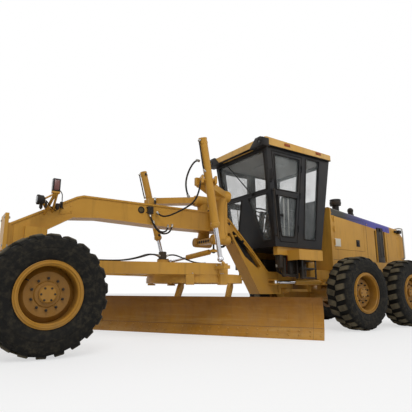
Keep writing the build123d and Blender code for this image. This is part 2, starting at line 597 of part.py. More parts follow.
def drawbar():
    beam = DRAWBAR_BEAM
    arm = plan_plate(
        [(-60, 0), (-60, 60), (0, 68), (DRAWBAR_REAR, DRAWBAR_REAR_HALF), (DRAWBAR_REAR, DRAWBAR_REAR_HALF - beam),
         (150, 0)],
        (DRAWBAR_BOTTOM + 20, DRAWBAR_TOP),
    )
    frame = both(arm)
    half = DRAWBAR_REAR_HALF - 20
    frame += block((DRAWBAR_REAR - 150, DRAWBAR_REAR), (-half, half), (DRAWBAR_BOTTOM, DRAWBAR_BOTTOM + 60))
    frame += both(block((DRAWBAR_REAR - 150, DRAWBAR_REAR), (half - 230, half), (DRAWBAR_BOTTOM, DRAWBAR_TOP - 30)))
    frame += block((1500, 1640), (-480, 480), (DRAWBAR_BOTTOM + 20, DRAWBAR_TOP - 40))
    # Plates with studs that point at the lift rods' balls, with room for the balls to drift
    frame += both(block((LIFT_EYE_BACK - 25, LIFT_EYE_BACK + 85), (DRAWBAR_REAR_HALF - 50, LIFT_EYE_OUT + 125),
                        (DRAWBAR_TOP - 90, DRAWBAR_TOP - 40)))
    sweep, slant = math.radians(STUD_SWEEP), math.radians(STUD_SLANT)
    stud = []
    for reach in (LIFT_EYE_RADIUS + LIFT_DRIFT, LIFT_EYE_RADIUS + LIFT_DRIFT + STUD_LENGTH):
        level = reach * math.cos(slant)
        stud.append((LIFT_EYE_BACK + level * math.sin(sweep), LIFT_EYE_OUT + level * math.cos(sweep),
                     LIFT_EYE_HEIGHT - reach * math.sin(slant)))
    frame += both(bar(*stud, STUD_RADIUS))
    # Gearbox that turns the circle, with its motor
    gear_back = CIRCLE_BACK - GEARBOX_LEAD
    frame += block((1630, gear_back), (-90, 90), (DRAWBAR_BOTTOM + 30, DRAWBAR_TOP - 50))
    for radius, z0, z1 in ((130, DRAWBAR_BOTTOM + 30, DRAWBAR_TOP), (85, DRAWBAR_TOP, DRAWBAR_TOP + 75)):
        frame += bar((gear_back, 0, z0), (gear_back, 0, z1), radius)
    frame += bar((gear_back, 0, CIRCLE_TOP + 8), (gear_back, 0, DRAWBAR_BOTTOM + 40), 42)
    # Tongue and eye round the ball
    frame += block((BALL_BACK + 70, 0), (-45, 45), (960, 1040))
    eye = bar((BALL_BACK, 0, DRAWBAR_BALL_HEIGHT - 40), (BALL_BACK, 0, DRAWBAR_BALL_HEIGHT + 40), 84)
    eye -= ball(BALL_BACK, 0, DRAWBAR_BALL_HEIGHT, DRAWBAR_BALL_RADIUS + FIT_GAP)
    frame += eye
    # Post ahead of the centre shift rod's ball, which drifts only rearwards from it
    b, y, z = CENTRE_SHIFT[1]
    face = b - CENTRE_SHIFT_BALL - FIT_GAP
    frame += bar((face - 30, y, z), (face, y, z), 20)
    frame += block((face - 45, face - 15), (y - 45, y + 45), (DRAWBAR_TOP - 50, z + 45))
    frame += block((face - 45, DRAWBAR_REAR - 140), (y - 60, y + 30), (DRAWBAR_TOP - 100, DRAWBAR_TOP - 40))
    # Wear ring that the circle turns under, and the shoes that hold it
    low, high = CIRCLE_TOP + FIT_GAP, DRAWBAR_BOTTOM + 30
    wear = bar((CIRCLE_BACK, 0, low), (CIRCLE_BACK, 0, high), CIRCLE_RADIUS - 10)
    frame += wear - bar((CIRCLE_BACK, 0, low - 1), (CIRCLE_BACK, 0, high + 1), CIRCLE_INNER_RADIUS + 10)
    for angle in SHOE_ANGLES:
        front = CIRCLE_BACK - CIRCLE_RADIUS - 50
        shoe = block((front, CIRCLE_BACK - CIRCLE_RADIUS - FIT_GAP), (-60, 60), (SHOE_BOTTOM, high))
        lip_end = CIRCLE_BACK - CIRCLE_RADIUS + SHOE_LIP
        shoe += block((front, lip_end), (-60, 60), (SHOE_BOTTOM, CIRCLE_BOTTOM - 5))
        shoe += block((front, lip_end), (-60, 60), (CIRCLE_TOP + FIT_GAP, high))
        frame += turned_by(shoe, angle)
    return frame


def circle_teeth():
    # The outline inside the ring, with the gaps between the inner teeth reaching outwards.
    points = []
    pitch = math.tau / CIRCLE_TEETH
    for n in range(CIRCLE_TEETH):
        for share, radius in (
            (-0.36, CIRCLE_INNER_RADIUS - TOOTH_DEPTH), (-0.2, CIRCLE_INNER_RADIUS), (0.2, CIRCLE_INNER_RADIUS),
            (0.36, CIRCLE_INNER_RADIUS - TOOTH_DEPTH),
        ):
            angle = (n + share) * pitch
            points.append((CIRCLE_BACK + radius * math.cos(angle), radius * math.sin(angle)))
    return points


def circle():
    z0, z1 = CIRCLE_BOTTOM, CIRCLE_TOP
    ring = bar((CIRCLE_BACK, 0, z0), (CIRCLE_BACK, 0, z1), CIRCLE_RADIUS)
    ring -= plan_plate(circle_teeth(), (z0 - 1, z1 + 1))
    outline = [
        # lead of the circle's centre, height
        (-545, z0 + 20), (-440, z0 + 20), (-380, 760), (-170, 430), (TIP_PIN_LEAD + 45, 300),
        (TIP_PIN_LEAD - 45, 290), (-300, 420), (-480, 650), (-545, 740),
    ]
    arm = side_plate([(CIRCLE_BACK - lead, z) for lead, z in outline], (ARM_OUT - ARM_WALL, ARM_OUT))
    arms = both(arm)
    pin = TIP_PIN_RADIUS + RUNNING_GAP
    pin_back = CIRCLE_BACK - TIP_PIN_LEAD
    arms -= bar((pin_back, -ARM_OUT - 1, TIP_PIN_HEIGHT), (pin_back, ARM_OUT + 1, TIP_PIN_HEIGHT), pin)
    return turned(ring + arms)


def turned_by(shape, angle):
    centre = Pos(at(CIRCLE_BACK), 0, 0)
    return centre * Rot(0, 0, angle) * centre.inverse() * shape


def turned(shape):
    # Turns a piece about the circle's centre by the blade's angle.
    return turned_by(shape, BLADE_ANGLE)


def blade_face(lead):
    # The arc of the blade's section, moved ahead by lead.
    foot = (at(CIRCLE_BACK) + BLADE_LEAD + lead, 0, BLADE_CLEARANCE)
    middle = (at(CIRCLE_BACK) + BLADE_LEAD - BLADE_SAG + lead, 0, BLADE_HEIGHT / 2)
    head = (at(CIRCLE_BACK) + BLADE_LEAD - 20 + lead, 0, BLADE_HEIGHT)
    return foot, middle, head


# Side shift cylinder, behind the board and between its rails
SHIFT_BACK = CIRCLE_BACK - BLADE_LEAD + BLADE_SAG + BLADE_WALL + 50
SHIFT_HEIGHT = 320
SHIFT_BARREL_RADIUS = 42
SHIFT_ROD_RADIUS = 22
SHIFT_EYE_OUT = 1480


def blade_slab(set_back, start, length):
    # A length of the curved section, its face set back from the cutting edge's.
    foot, middle, head = blade_face(-set_back)
    back_foot, back_middle, back_head = blade_face(-BLADE_WALL)
    edges = [
        ThreePointArc(foot, middle, head),
        Line(head, back_head),
        ThreePointArc(back_head, back_middle, back_foot),
        Line(back_foot, foot),
    ]
    return extrude(Pos(0, start, 0) * make_face(edges), amount=length, dir=(0, 1, 0))


def moldboard():
    low = -BLADE_LENGTH / 2 + BLADE_SHIFT_AT_REST
    high = low + BLADE_LENGTH
    board = blade_slab(EDGE_STEP, low, BLADE_LENGTH)
    # Cutting edge, and the end bits that rise above it
    around = (CIRCLE_BACK - 2 * BLADE_LEAD, CIRCLE_BACK + 2 * BLADE_LEAD)
    board += blade_slab(0, low, BLADE_LENGTH) & block(around, (low - 1, high + 1), (0, EDGE_HEIGHT))
    for start in (low, high - END_BIT_LENGTH):
        bit = blade_slab(0, start, END_BIT_LENGTH)
        board += bit & block(around, (low - 1, high + 1), (0, EDGE_HEIGHT + END_BIT_RISE))
    # Slide rails behind the board
    back = CIRCLE_BACK - BLADE_LEAD + BLADE_SAG
    for z in (200, 440):
        board += block((back, back + RAIL_DEPTH + BLADE_WALL), (low + 250, low + BLADE_LENGTH - 250), (z - 25, z + 25))
    board += block((back, SHIFT_BACK + 35), (SHIFT_EYE_OUT, SHIFT_EYE_OUT + 40), (SHIFT_HEIGHT - 40, SHIFT_HEIGHT + 40))
    return turned(board)


def blade_carrier():
    rail_back = CIRCLE_BACK - BLADE_LEAD + BLADE_SAG + BLADE_WALL
    jaws = None
    for side in (1, -1):
        y0, y1 = (ARM_OUT + SWING_GAP, ARM_OUT + SWING_GAP + 60)
        jaw = block((rail_back + RAIL_DEPTH + SWING_GAP, rail_back + 130), (y0, y1), (150, 500))
        for z in (200, 440):
            for z0, z1 in ((z - 60, z - 31), (z + 31, z + 60)):
                jaw += block((rail_back + 20, rail_back + 130), (y0, y1), (z0, z1))
        pin_back = CIRCLE_BACK - TIP_PIN_LEAD
        jaw += bar((pin_back, ARM_OUT - ARM_WALL - 20, TIP_PIN_HEIGHT), (pin_back, y1, TIP_PIN_HEIGHT), TIP_PIN_RADIUS)
        jaw += block((rail_back + 100, pin_back + 40), (y0, y1), (TIP_PIN_HEIGHT - 50, TIP_PIN_HEIGHT + 50))
        jaw -= bar((SHIFT_BACK, y0 - 1, SHIFT_HEIGHT), (SHIFT_BACK, y1 + 1, SHIFT_HEIGHT), SHIFT_ROD_RADIUS + SWING_GAP)
        jaw = jaw if side > 0 else mirrored(jaw)
        jaws = jaw if jaws is None else jaws + jaw
    pin_back = CIRCLE_BACK - TIP_PIN_LEAD
    tube_half = ARM_OUT - ARM_WALL - 30
    jaws += bar((pin_back, -tube_half, TIP_PIN_HEIGHT), (pin_back, tube_half, TIP_PIN_HEIGHT), 45)
    jaws += bar((pin_back, -ARM_OUT, TIP_PIN_HEIGHT), (pin_back, ARM_OUT, TIP_PIN_HEIGHT), TIP_PIN_RADIUS)
    return turned(jaws)


def side_shift_barrel():
    reach = ARM_OUT + SWING_GAP
    body = bar((SHIFT_BACK, -reach, SHIFT_HEIGHT), (SHIFT_BACK, reach, SHIFT_HEIGHT), SHIFT_BARREL_RADIUS)
    bore = SHIFT_ROD_RADIUS + RUNNING_GAP
    return turned(body - bar((SHIFT_BACK, -reach + 20, SHIFT_HEIGHT), (SHIFT_BACK, reach + 1, SHIFT_HEIGHT), bore))


def side_shift_rod():
    return turned(bar((SHIFT_BACK, -20, SHIFT_HEIGHT), (SHIFT_BACK, SHIFT_EYE_OUT, SHIFT_HEIGHT), SHIFT_ROD_RADIUS))


def rear_frame():
    lug_foot = HINGE_HUB_BOTTOM - 5
    wall = (HINGE_BACK + 240, HINGE_BACK + 340)
    frame = None
    for z0, z1 in ((lug_foot - HINGE_LUG_WALL, lug_foot), (HINGE_HUB_TOP + 5, HINGE_HUB_TOP + 5 + HINGE_LUG_WALL)):
        corners = [(HINGE_BACK, -150), (HINGE_BACK, 150), (HINGE_BACK + 260, 330), (HINGE_BACK + 260, -330)]
        lug = plan_plate(corners, (z0, z1))
        lug += bar((HINGE_BACK, 0, z0), (HINGE_BACK, 0, z1), 150)
        frame = lug if frame is None else frame + lug
    frame += bar((HINGE_BACK, 0, lug_foot - 80), (HINGE_BACK, 0, HINGE_HUB_TOP + 90), HINGE_PIN_RADIUS)
    frame += block(wall, (-335, 335), (lug_foot - HINGE_LUG_WALL, 1300))
    frame += block(wall, (-RAIL_IN - RAIL_WALL, RAIL_IN + RAIL_WALL), (RAIL_BOTTOM + 25, 1300))
    b, y, z = ARTICULATION[0]
    for z0, z1 in ((z - EYE_HALF - 25, z - EYE_HALF - FIT_GAP), (z + EYE_HALF + FIT_GAP, z + EYE_HALF + 25)):
        frame += both(block((b - 50, b + 50), (RAIL_IN + 50, y + 45), (z0, z1)))
    frame += both(block((b - 50, b + 50), (RAIL_IN + 50, RAIL_IN + RAIL_WALL), (z - EYE_HALF - 25, RAIL_BOTTOM + 1)))
    frame += both(bar((b, y, z - EYE_HALF - 20), (b, y, z + EYE_HALF + 20), EYE_PIN_RADIUS))
    frame += both(block((wall[1] - 10, BUMPER_FRONT + 1), (RAIL_IN, RAIL_IN + RAIL_WALL), (RAIL_BOTTOM, RAIL_TOP)))
    for b in (HINGE_BACK + 710, WHEELBASE + 760):
        frame += block((b, b + 120), (-RAIL_IN - 1, RAIL_IN + 1), (RAIL_BOTTOM + 20, RAIL_TOP - 20))
    frame += block((BUMPER_FRONT, BUMPER_FRONT + BUMPER_DEPTH), (-480, 480), (850, BUMPER_TOP))
    rear = OVERALL_LENGTH - TYRE_RADIUS
    for z0, z1 in ((880, 915), (985, 1020)):
        frame += block((BUMPER_FRONT + BUMPER_DEPTH - 1, rear), (-70, 70), (z0, z1))
    frame -= bar((rear - 35, 0, 870), (rear - 35, 0, 1030), 20)
    return frame


def rear_axle():
    centre = WHEELBASE
    housing = bar((centre, -CASE_IN - 60, AXLE_HEIGHT), (centre, CASE_IN + 60, AXLE_HEIGHT), REAR_AXLE_RADIUS)
    housing += ball(centre, 0, AXLE_HEIGHT, 235)
    housing += both(block((centre - 140, centre + 140), (RAIL_IN, RAIL_IN + RAIL_WALL), (AXLE_HEIGHT + 60, RAIL_BOTTOM)))
    return housing


def tandem_case():
    half = TANDEM_SPACING / 2
    y0, y1 = CASE_IN, CASE_IN + CASE_WIDTH
    z0, z1 = AXLE_HEIGHT - CASE_HALF_HEIGHT, AXLE_HEIGHT + CASE_HALF_HEIGHT
    case = block((WHEELBASE - half, WHEELBASE + half), (y0, y1), (z0, z1))
    for b in (WHEELBASE - half, WHEELBASE + half):
        case += bar((b, y0, AXLE_HEIGHT), (b, y1, AXLE_HEIGHT), CASE_HALF_HEIGHT)
        case += bar((b, y1 - 1, AXLE_HEIGHT), (b, TRACK / 2 + SPINDLE_REACH, AXLE_HEIGHT), SPINDLE_RADIUS)
    # Bearing cap over the pivot, and a filler boss on top
    case += bar((WHEELBASE, y1 - 1, AXLE_HEIGHT), (WHEELBASE, y1 + 24, AXLE_HEIGHT), 96)
    case += bar((WHEELBASE + 240, CASE_IN + 90, z1 - 1), (WHEELBASE + 240, CASE_IN + 90, z1 + 22), 30)
    bore = REAR_AXLE_RADIUS + RUNNING_GAP
    case -= bar((WHEELBASE, y0 - 1, AXLE_HEIGHT), (WHEELBASE, y0 + 60 + FIT_GAP, AXLE_HEIGHT), bore)
    return case


def cab_block(inset):
    # The cab's tapered block, its walls moved in by inset.
    sections = []
    for z, front, rear, half in (
        (CAB_FOOT_HEIGHT, CAB_FOOT_FRONT, CAB_FOOT_REAR, CAB_FOOT_HALF),
        (CAB_HEAD_HEIGHT, CAB_HEAD_FRONT, CAB_HEAD_REAR, CAB_HEAD_HALF),
    ):
        f, r, h = front + inset, rear - inset, half - inset
        points = [(at(f), -h, z), (at(f), h, z), (at(r), h, z), (at(r), -h, z)]
        sections.append(make_face(Polyline(*points, close=True)))
    return loft(sections, ruled=True)


def cab_walls():
    inside = cab_block(CAB_WALL)
    room = (CAB_FOOT_HEIGHT + CAB_WALL, CAB_HEAD_HEIGHT + 1)
    inside &= block((CAB_HEAD_FRONT, CAB_HEAD_REAR), (-CAB_HEAD_HALF, CAB_HEAD_HALF), room)
    return cab_block(0) - inside


DOOR = from_hinge([(-760, DOOR_FOOT), (-329, DOOR_FOOT), (-210, DOOR_HEAD), (-990, DOOR_HEAD)])
DOOR_UPPER_WINDOW = from_hinge([(-850, 2440), (-320, 2440), (-278, GLASS_HEAD), (-915, GLASS_HEAD)])
DOOR_LOWER_WINDOW = from_hinge([(-715, 1620), (-390, 1620), (-340, 2340), (-840, 2340)])
QUARTER_WINDOW = from_hinge([(-160, 1600), (150, 1600), (260, DOOR_HEAD), (-110, DOOR_HEAD)])
WINDSHIELD = [(-640, 2440), (640, 2440), (680, DOOR_HEAD), (-680, DOOR_HEAD)]
LOWER_FRONT_WINDOW = [(90, 2370), (630, 2370), (590, 1560), (380, 1560)]
REAR_WINDOW = [(-560, 2420), (560, 2420), (620, DOOR_HEAD - 30), (-620, DOOR_HEAD - 30)]
# How far a cut through a side wall runs, from inside the cab to outside it
SIDE_REACH = (CAB_FOOT_HALF - 165, CAB_HEAD_HALF + 230)


def shrunk(outline, gap):
    # Moves each point of a four-sided outline towards its middle by the gap each way.
    mx = sum(p[0] for p in outline) / len(outline)
    my = sum(p[1] for p in outline) / len(outline)
    return [(x - math.copysign(gap, x - mx), y - math.copysign(gap, y - my)) for x, y in outline]


def cab_openings(gap):
    # Every fixed pane's prism, as (outline, prism) with the outline moved in by gap.
    front_reach = (CAB_HEAD_FRONT - CAB_WALL, CAB_FOOT_FRONT + 2 * CAB_WALL)
    rear_reach = (CAB_FOOT_REAR - 2 * CAB_WALL, CAB_HEAD_REAR + CAB_WALL)
    sides = both(side_plate(shrunk(QUARTER_WINDOW, gap), SIDE_REACH, WINDOW_ROUND))
    fore = front_plate(shrunk(WINDSHIELD, gap), front_reach, WINDOW_ROUND)
    fore += both(front_plate(shrunk(LOWER_FRONT_WINDOW, gap), front_reach, WINDOW_ROUND))
    rear = front_plate(shrunk(REAR_WINDOW, gap), rear_reach, WINDOW_ROUND)
    return sides + fore + rear


def cab_half(height):
    share = (height - CAB_FOOT_HEIGHT) / (CAB_HEAD_HEIGHT - CAB_FOOT_HEIGHT)
    return CAB_FOOT_HALF + (CAB_HEAD_HALF - CAB_FOOT_HALF) * share


CAB_DOOR_EDGE = [(DOOR[i][0], cab_half(DOOR[i][1]), DOOR[i][1]) for i in (1, 2)]


def cab_frame():
    frame = cab_walls() - cab_openings(0)
    frame -= both(side_plate(DOOR, SIDE_REACH))
    return frame + both(knuckles(CAB_DOOR_EDGE, 1, False))


def cab_glass():
    pane = cab_block(CAB_WALL / 2 - GLASS_WALL / 2) - cab_block(CAB_WALL / 2 + GLASS_WALL / 2)
    return pane & cab_openings(0)


def door():
    panel = cab_walls() & side_plate(shrunk(DOOR, DOOR_GAP), SIDE_REACH)
    for window in (DOOR_UPPER_WINDOW, DOOR_LOWER_WINDOW):
        panel -= side_plate(window, SIDE_REACH, WINDOW_ROUND)
    pane = cab_block(CAB_WALL / 2 - GLASS_WALL / 2) - cab_block(CAB_WALL / 2 + GLASS_WALL / 2)
    for window in (DOOR_UPPER_WINDOW, DOOR_LOWER_WINDOW):
        panel += pane & side_plate(window, SIDE_REACH, WINDOW_ROUND)
    return panel + knuckles(CAB_DOOR_EDGE, 1, True)


def cab_roof():
    section = side_plate(
        [(ROOF_FRONT, CAB_HEAD_HEIGHT), (ROOF_REAR, CAB_HEAD_HEIGHT), (ROOF_REAR, CAB_HEAD_HEIGHT + 80),
         (ROOF_REAR - 60, CAB_HEAD_HEIGHT + 100), (ROOF_FRONT + 80, CAB_HEAD_HEIGHT + ROOF_WALL + 20),
         (ROOF_FRONT, CAB_HEAD_HEIGHT + ROOF_WALL - 10)],
        (-ROOF_HALF, ROOF_HALF),
    )
    corners = [(ROOF_FRONT, -ROOF_HALF), (ROOF_FRONT, ROOF_HALF), (ROOF_REAR, ROOF_HALF), (ROOF_REAR, -ROOF_HALF)]
    roof = section & plan_plate(corners, (CAB_HEAD_HEIGHT, CAB_HEAD_HEIGHT + 2 * ROOF_WALL), ROOF_ROUND)
    # Raised panel in the middle
    inset = ROOF_ROUND + 30
    panel = [(ROOF_FRONT + inset, -ROOF_HALF + inset), (ROOF_FRONT + inset, ROOF_HALF - inset),
             (ROOF_REAR - inset, ROOF_HALF - inset), (ROOF_REAR - inset, -ROOF_HALF + inset)]
    return roof + plan_plate(panel, (CAB_HEAD_HEIGHT + 40, CAB_HEAD_HEIGHT + ROOF_WALL + 24), ROOF_ROUND)


def seat():
    base = block((HINGE_BACK - 190, HINGE_BACK + 10), (-110, 110), (CAB_FOOT_HEIGHT + CAB_WALL, SEAT_HEIGHT + 5))
    cushion = [(-340, SEAT_HEIGHT), (-340, SEAT_HEIGHT + 130), (120, SEAT_HEIGHT + 115), (140, SEAT_HEIGHT)]
    base += side_plate(from_hinge(cushion), (-240, 240), 35)
    rest = [(60, SEAT_HEIGHT + 90), (10, SEAT_HEIGHT + 180), (160, BACKREST_TOP), (250, BACKREST_TOP),
            (160, SEAT_HEIGHT + 90)]
    back = side_plate(from_hinge(rest), (-230, 230), 30)
    pad = (ARMREST_HEIGHT, ARMREST_HEIGHT + 40)
    rests = both(side_plate(from_hinge([(-240, pad[0]), (-240, pad[1]), (140, pad[1]), (140, pad[0])]), (245, 300), 15))
    rests += both(block((HINGE_BACK + 80, HINGE_BACK + 130), (220, 250), pad))
    return base + back + rests


def console():
    floor = CAB_FOOT_HEIGHT + CAB_WALL
    foot, wheel_back = HINGE_BACK - 640, HINGE_BACK - 555
    column = bar((foot, 0, floor + 30), (wheel_back - 5, 0, 2140), 50)
    column += block((foot - 60, foot + 60), (-130, 130), (floor, 1760))
    wheel = Torus(STEERING_RADIUS, 15) + Cylinder(48, 34)
    for angle in (90, 210, 330):
        wheel += Rot(0, 0, angle) * Pos(STEERING_RADIUS / 2, 0, 0) * Box(STEERING_RADIUS, 26, 12)
    column += Pos(at(wheel_back), 0, 2150) * Rot(0, -20, 0) * wheel
    for side in (1, -1):
        for n in range(4):
            y = side * (150 + 28 * n)
            column += bar((foot + 30, side * 100, 1740), (foot + 60, y, 2080), 9)
    return column


def platforms():
    front, rear = HINGE_BACK - 540, HINGE_BACK + 50
    step = block((front, rear), (620, 900), (1355, 1387)) + block((front, rear), (868, 900), (1207, 1387))
    for b in (front, rear - 32):
        step += block((b, b + 32), (620, 900), (1207, 1387))
    step += block((HINGE_BACK - 780, HINGE_BACK + 260), (520, 620), (1300, CAB_FOOT_HEIGHT))
    return both(step) + block((HINGE_BACK + 240, HINGE_BACK + 340), (-620, 620), (1300, CAB_FOOT_HEIGHT))


def hydraulic_pack():
    corners = [(HINGE_BACK + b, y) for b, y in ((-220, 345), (240, 345), (240, 510), (-220, 510))]
    return both(plan_plate(corners, (1060, 1290), 35))


def hood_block(inset, bottom):
    front, rear, half = HOOD_FRONT + inset, HOOD_REAR - inset, HOOD_HALF - inset
    outline = [(front, bottom), (front, HOOD_FRONT_TOP - inset), (rear - 180, HOOD_REAR_TOP - inset),
               (rear, HOOD_REAR_TOP - 170 - inset), (rear, bottom)]
    solid = side_plate(outline, (-half, half))
    # Rounded along the top and down the rear corners
    rounded = []
    for edge in solid.edges():
        ends = edge.vertices()
        lengthwise = all(v.Z > HOOD_REAR_TOP - 200 - inset and abs(v.Y) > half - 1 for v in ends)
        corner = all(v.X < at(rear) + 1 and abs(v.Y) > half - 1 for v in ends)
        straight = abs(ends[0].Y - ends[1].Y) < 1
        at_front = abs(ends[0].X + ends[1].X - 2 * at(front)) < 1
        if straight and (lengthwise or corner) and not at_front:
            rounded.append(edge)
    return fillet(rounded, HOOD_ROUND - inset)


HOOD_DOOR = [(HOOD_FRONT + b, z) for b, z in ((93, 1493), (1054, 1493), (1054, 2150), (93, 2183))]
HOOD_DOOR_EDGE = [(HOOD_DOOR[i][0], HOOD_HALF, HOOD_DOOR[i][1]) for i in (0, 3)]


def hood_side_door():
    shell = hood_block(0, HOOD_BOTTOM) - hood_block(HOOD_WALL, HOOD_BOTTOM - 1)
    return (shell & side_plate(shrunk(HOOD_DOOR, DOOR_GAP), (400, 600))) + knuckles(HOOD_DOOR_EDGE, -1, True)


def hood():
    shell = hood_block(0, HOOD_BOTTOM) - hood_block(HOOD_WALL, HOOD_BOTTOM - 1)
    shell -= both(side_plate(HOOD_DOOR, (400, 600)))
    for b in (HOOD_REAR - 1123 + 110 * n for n in range(4)):
        shell -= block((b, b + 60), (-600, 600), (1300, 1980))
    for n in range(8):
        z = 1320 + 66 * n
        shell -= block((HOOD_REAR - 60, HOOD_REAR + 1), (-380, 380), (z, z + 40))
    return shell + both(knuckles(HOOD_DOOR_EDGE, -1, False))


def engine_block():
    return block((WHEELBASE - 290, WHEELBASE + 1010), (-330, 330), (RAIL_TOP, 1900))


def stacks():
    cleaner, exhaust = HOOD_FRONT + 854, HOOD_FRONT + 1371
    stack = bar((cleaner, 0, 2200), (cleaner, 0, 2600), 75) + bar((cleaner, 0, 2560), (cleaner, 0, 2694), 120)
    stack += bar((exhaust, 0, 2150), (exhaust, 0, 2500), 60) + ball(exhaust, 0, 2500, 68)
    return stack - hood_block(0, HOOD_BOTTOM)


def rear_lamps():
    return both(block((HOOD_REAR, HOOD_REAR + 35), (400, 500), (1760, 1880)))


def front_lamps():
    lamps = Part()
    for back, height, radius, foot in ((-60, 1831, 78, (160, 100, 1680)), (180, 2049, 58, (420, 100, 1790))):
        bowl = [(0, -38), (radius - 22, -38), (radius, -6), (radius, 30), (radius - 10, 30), (radius - 10, 22), (0, 22)]
        points = [(x, 0, z) for x, z in bowl]
        shell = revolve(make_face(Polyline(*points, close=True)), axis=Axis.Z)
        lamps += Plane(origin=(at(back), 400, height), z_dir=(1, 0, 0)) * shell
        lamps += bar((back + 34, 400, height), foot, 18)
    web_half = BEAM_WIDTH / 2 - BEAM_FLANGE_REACH
    return lamps - block((-400, 800), (-web_half, web_half), (1500, 2100))


def upright(point, radius, half):
    # A round eye or pin about an upright axis.
    b, y, z = point
    return bar((b, y, z - half), (b, y, z + half), radius)


def share_point(cylinder, share):
    return tuple(a + (b - a) * share for a, b in zip(cylinder[0], cylinder[1]))


def short_barrel(cylinder):
    start, end, radius, rod = cylinder
    barrel = bar(share_point(cylinder, 0.09), share_point(cylinder, 0.6), radius)
    barrel -= bar(share_point(cylinder, 0.12), share_point(cylinder, 0.61), rod + RUNNING_GAP)
    return barrel + bar(start, share_point(cylinder, 0.1), EYE_NECK_RADIUS)


def short_rod(cylinder):
    start, end, radius, rod = cylinder
    shaft = bar(share_point(cylinder, 0.355), share_point(cylinder, 0.92), rod)
    return shaft + bar(share_point(cylinder, 0.9), end, EYE_NECK_RADIUS)


def articulation_barrel():
    pin = ARTICULATION[0]
    barrel = short_barrel(ARTICULATION) + upright(pin, 40, EYE_HALF)
    return barrel - upright(pin, EYE_PIN_RADIUS + RUNNING_GAP, EYE_HALF + 1)


def articulation_rod():
    return short_rod(ARTICULATION) + upright(ARTICULATION[1], 38, EYE_HALF)


def centre_shift_ball():
    b, y, z = CENTRE_SHIFT[0]
    return bar((b, y, z), (b, y, 1540), CENTRE_SHIFT_PIN_RADIUS) + ball(b, y, z, CENTRE_SHIFT_BALL)


def centre_shift_barrel():
    socket = upright(CENTRE_SHIFT[0], SOCKET_RADIUS, SOCKET_HALF)
    return short_barrel(CENTRE_SHIFT) + socket - ball(*CENTRE_SHIFT[0], CENTRE_SHIFT_BALL + FIT_GAP)


def centre_shift_rod():
    return short_rod(CENTRE_SHIFT) + ball(*CENTRE_SHIFT[1], CENTRE_SHIFT_BALL)


def main():
    os.makedirs("parts", exist_ok=True)
    middle_back = WHEELBASE - TANDEM_SPACING / 2
    rear_back = WHEELBASE + TANDEM_SPACING / 2
    for name, back in (("front", 0), ("middle", middle_back), ("rear", rear_back)):
        for word, side in (("left", 1), ("right", -1)):
            keep(tyre(back, side), f"tyre_{name}_{word}")
            keep(rim(back, side), f"rim_{name}_{word}")
    pairs = {
        "lift_barrel": lift_barrel, "lift_rod": lift_rod, "lean_bracket": lean_bracket, "knuckle": knuckle,
        "tandem_case": tandem_case, "cab_door": door, "hood_door": hood_side_door,
        "articulation_barrel": articulation_barrel, "articulation_rod": articulation_rod,
    }
    for name, make in pairs.items():
        left = make()
        keep(left, f"{name}_left")
        keep(mirrored(left), f"{name}_right")
    singles = {
        "front_frame": front_frame, "lift_arms": lift_arms, "front_axle": front_axle, "lean_bar": lean_bar,
        "tie_rod_end": tie_rod_end, "tie_rod": tie_rod, "drawbar_ball": drawbar_ball, "drawbar": drawbar,
        "circle": circle, "blade_carrier": blade_carrier, "moldboard": moldboard,
        "side_shift_barrel": side_shift_barrel, "side_shift_rod": side_shift_rod,
        "centre_shift_ball": centre_shift_ball, "centre_shift_barrel": centre_shift_barrel,
        "centre_shift_rod": centre_shift_rod,
        "rear_frame": rear_frame, "rear_axle": rear_axle, "cab_frame": cab_frame, "cab_glass": cab_glass,
        "cab_roof": cab_roof, "seat": seat, "console": console, "platforms": platforms,
        "hydraulic_pack": hydraulic_pack, "hood": hood, "engine_block": engine_block, "stacks": stacks,
        "rear_lamps": rear_lamps, "front_lamps": front_lamps,
    }
    for name, make in singles.items():
        keep(make(), name)


main()
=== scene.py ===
import json
import math
import bmesh
import bpy
from mathutils import Euler, Matrix, Vector


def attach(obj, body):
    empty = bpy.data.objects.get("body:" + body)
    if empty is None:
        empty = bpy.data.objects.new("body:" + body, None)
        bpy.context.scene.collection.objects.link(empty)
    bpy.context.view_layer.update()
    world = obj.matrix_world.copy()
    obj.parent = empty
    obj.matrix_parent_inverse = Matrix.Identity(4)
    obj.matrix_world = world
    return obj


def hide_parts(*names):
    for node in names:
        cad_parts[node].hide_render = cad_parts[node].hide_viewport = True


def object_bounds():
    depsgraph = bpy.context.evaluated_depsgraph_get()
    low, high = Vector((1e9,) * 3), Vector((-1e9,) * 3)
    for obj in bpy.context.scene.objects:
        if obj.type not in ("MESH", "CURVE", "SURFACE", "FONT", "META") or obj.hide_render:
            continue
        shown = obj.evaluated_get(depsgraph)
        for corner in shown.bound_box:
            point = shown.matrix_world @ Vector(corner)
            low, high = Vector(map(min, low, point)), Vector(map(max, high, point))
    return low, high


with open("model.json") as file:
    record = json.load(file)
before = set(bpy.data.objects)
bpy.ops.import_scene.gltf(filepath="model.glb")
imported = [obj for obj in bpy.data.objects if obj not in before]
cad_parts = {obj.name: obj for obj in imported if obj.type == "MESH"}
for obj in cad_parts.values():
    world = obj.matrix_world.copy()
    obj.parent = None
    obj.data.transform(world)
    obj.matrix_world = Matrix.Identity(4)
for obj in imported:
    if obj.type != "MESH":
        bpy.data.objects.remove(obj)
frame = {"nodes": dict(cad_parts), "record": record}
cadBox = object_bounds()
nodes = frame["nodes"]
print("frame loaded", len(nodes), "nodes")

# The machine's own places, in millimetres: distance behind the front axle, across to the left, height
frontAxle = 3775
sideOffset = 77.23


def spot(back, across, height):
    return Vector(((frontAxle - back) / 1000, (across - sideOffset) / 1000, height / 1000))


def between(first, second, reach):
    # The place that lies a reach from the first towards the second
    length = math.dist(first, second)
    return tuple(a + (b - a) * reach / length for a, b in zip(first, second))


def sideWord(side):
    return "left" if side > 0 else "right"


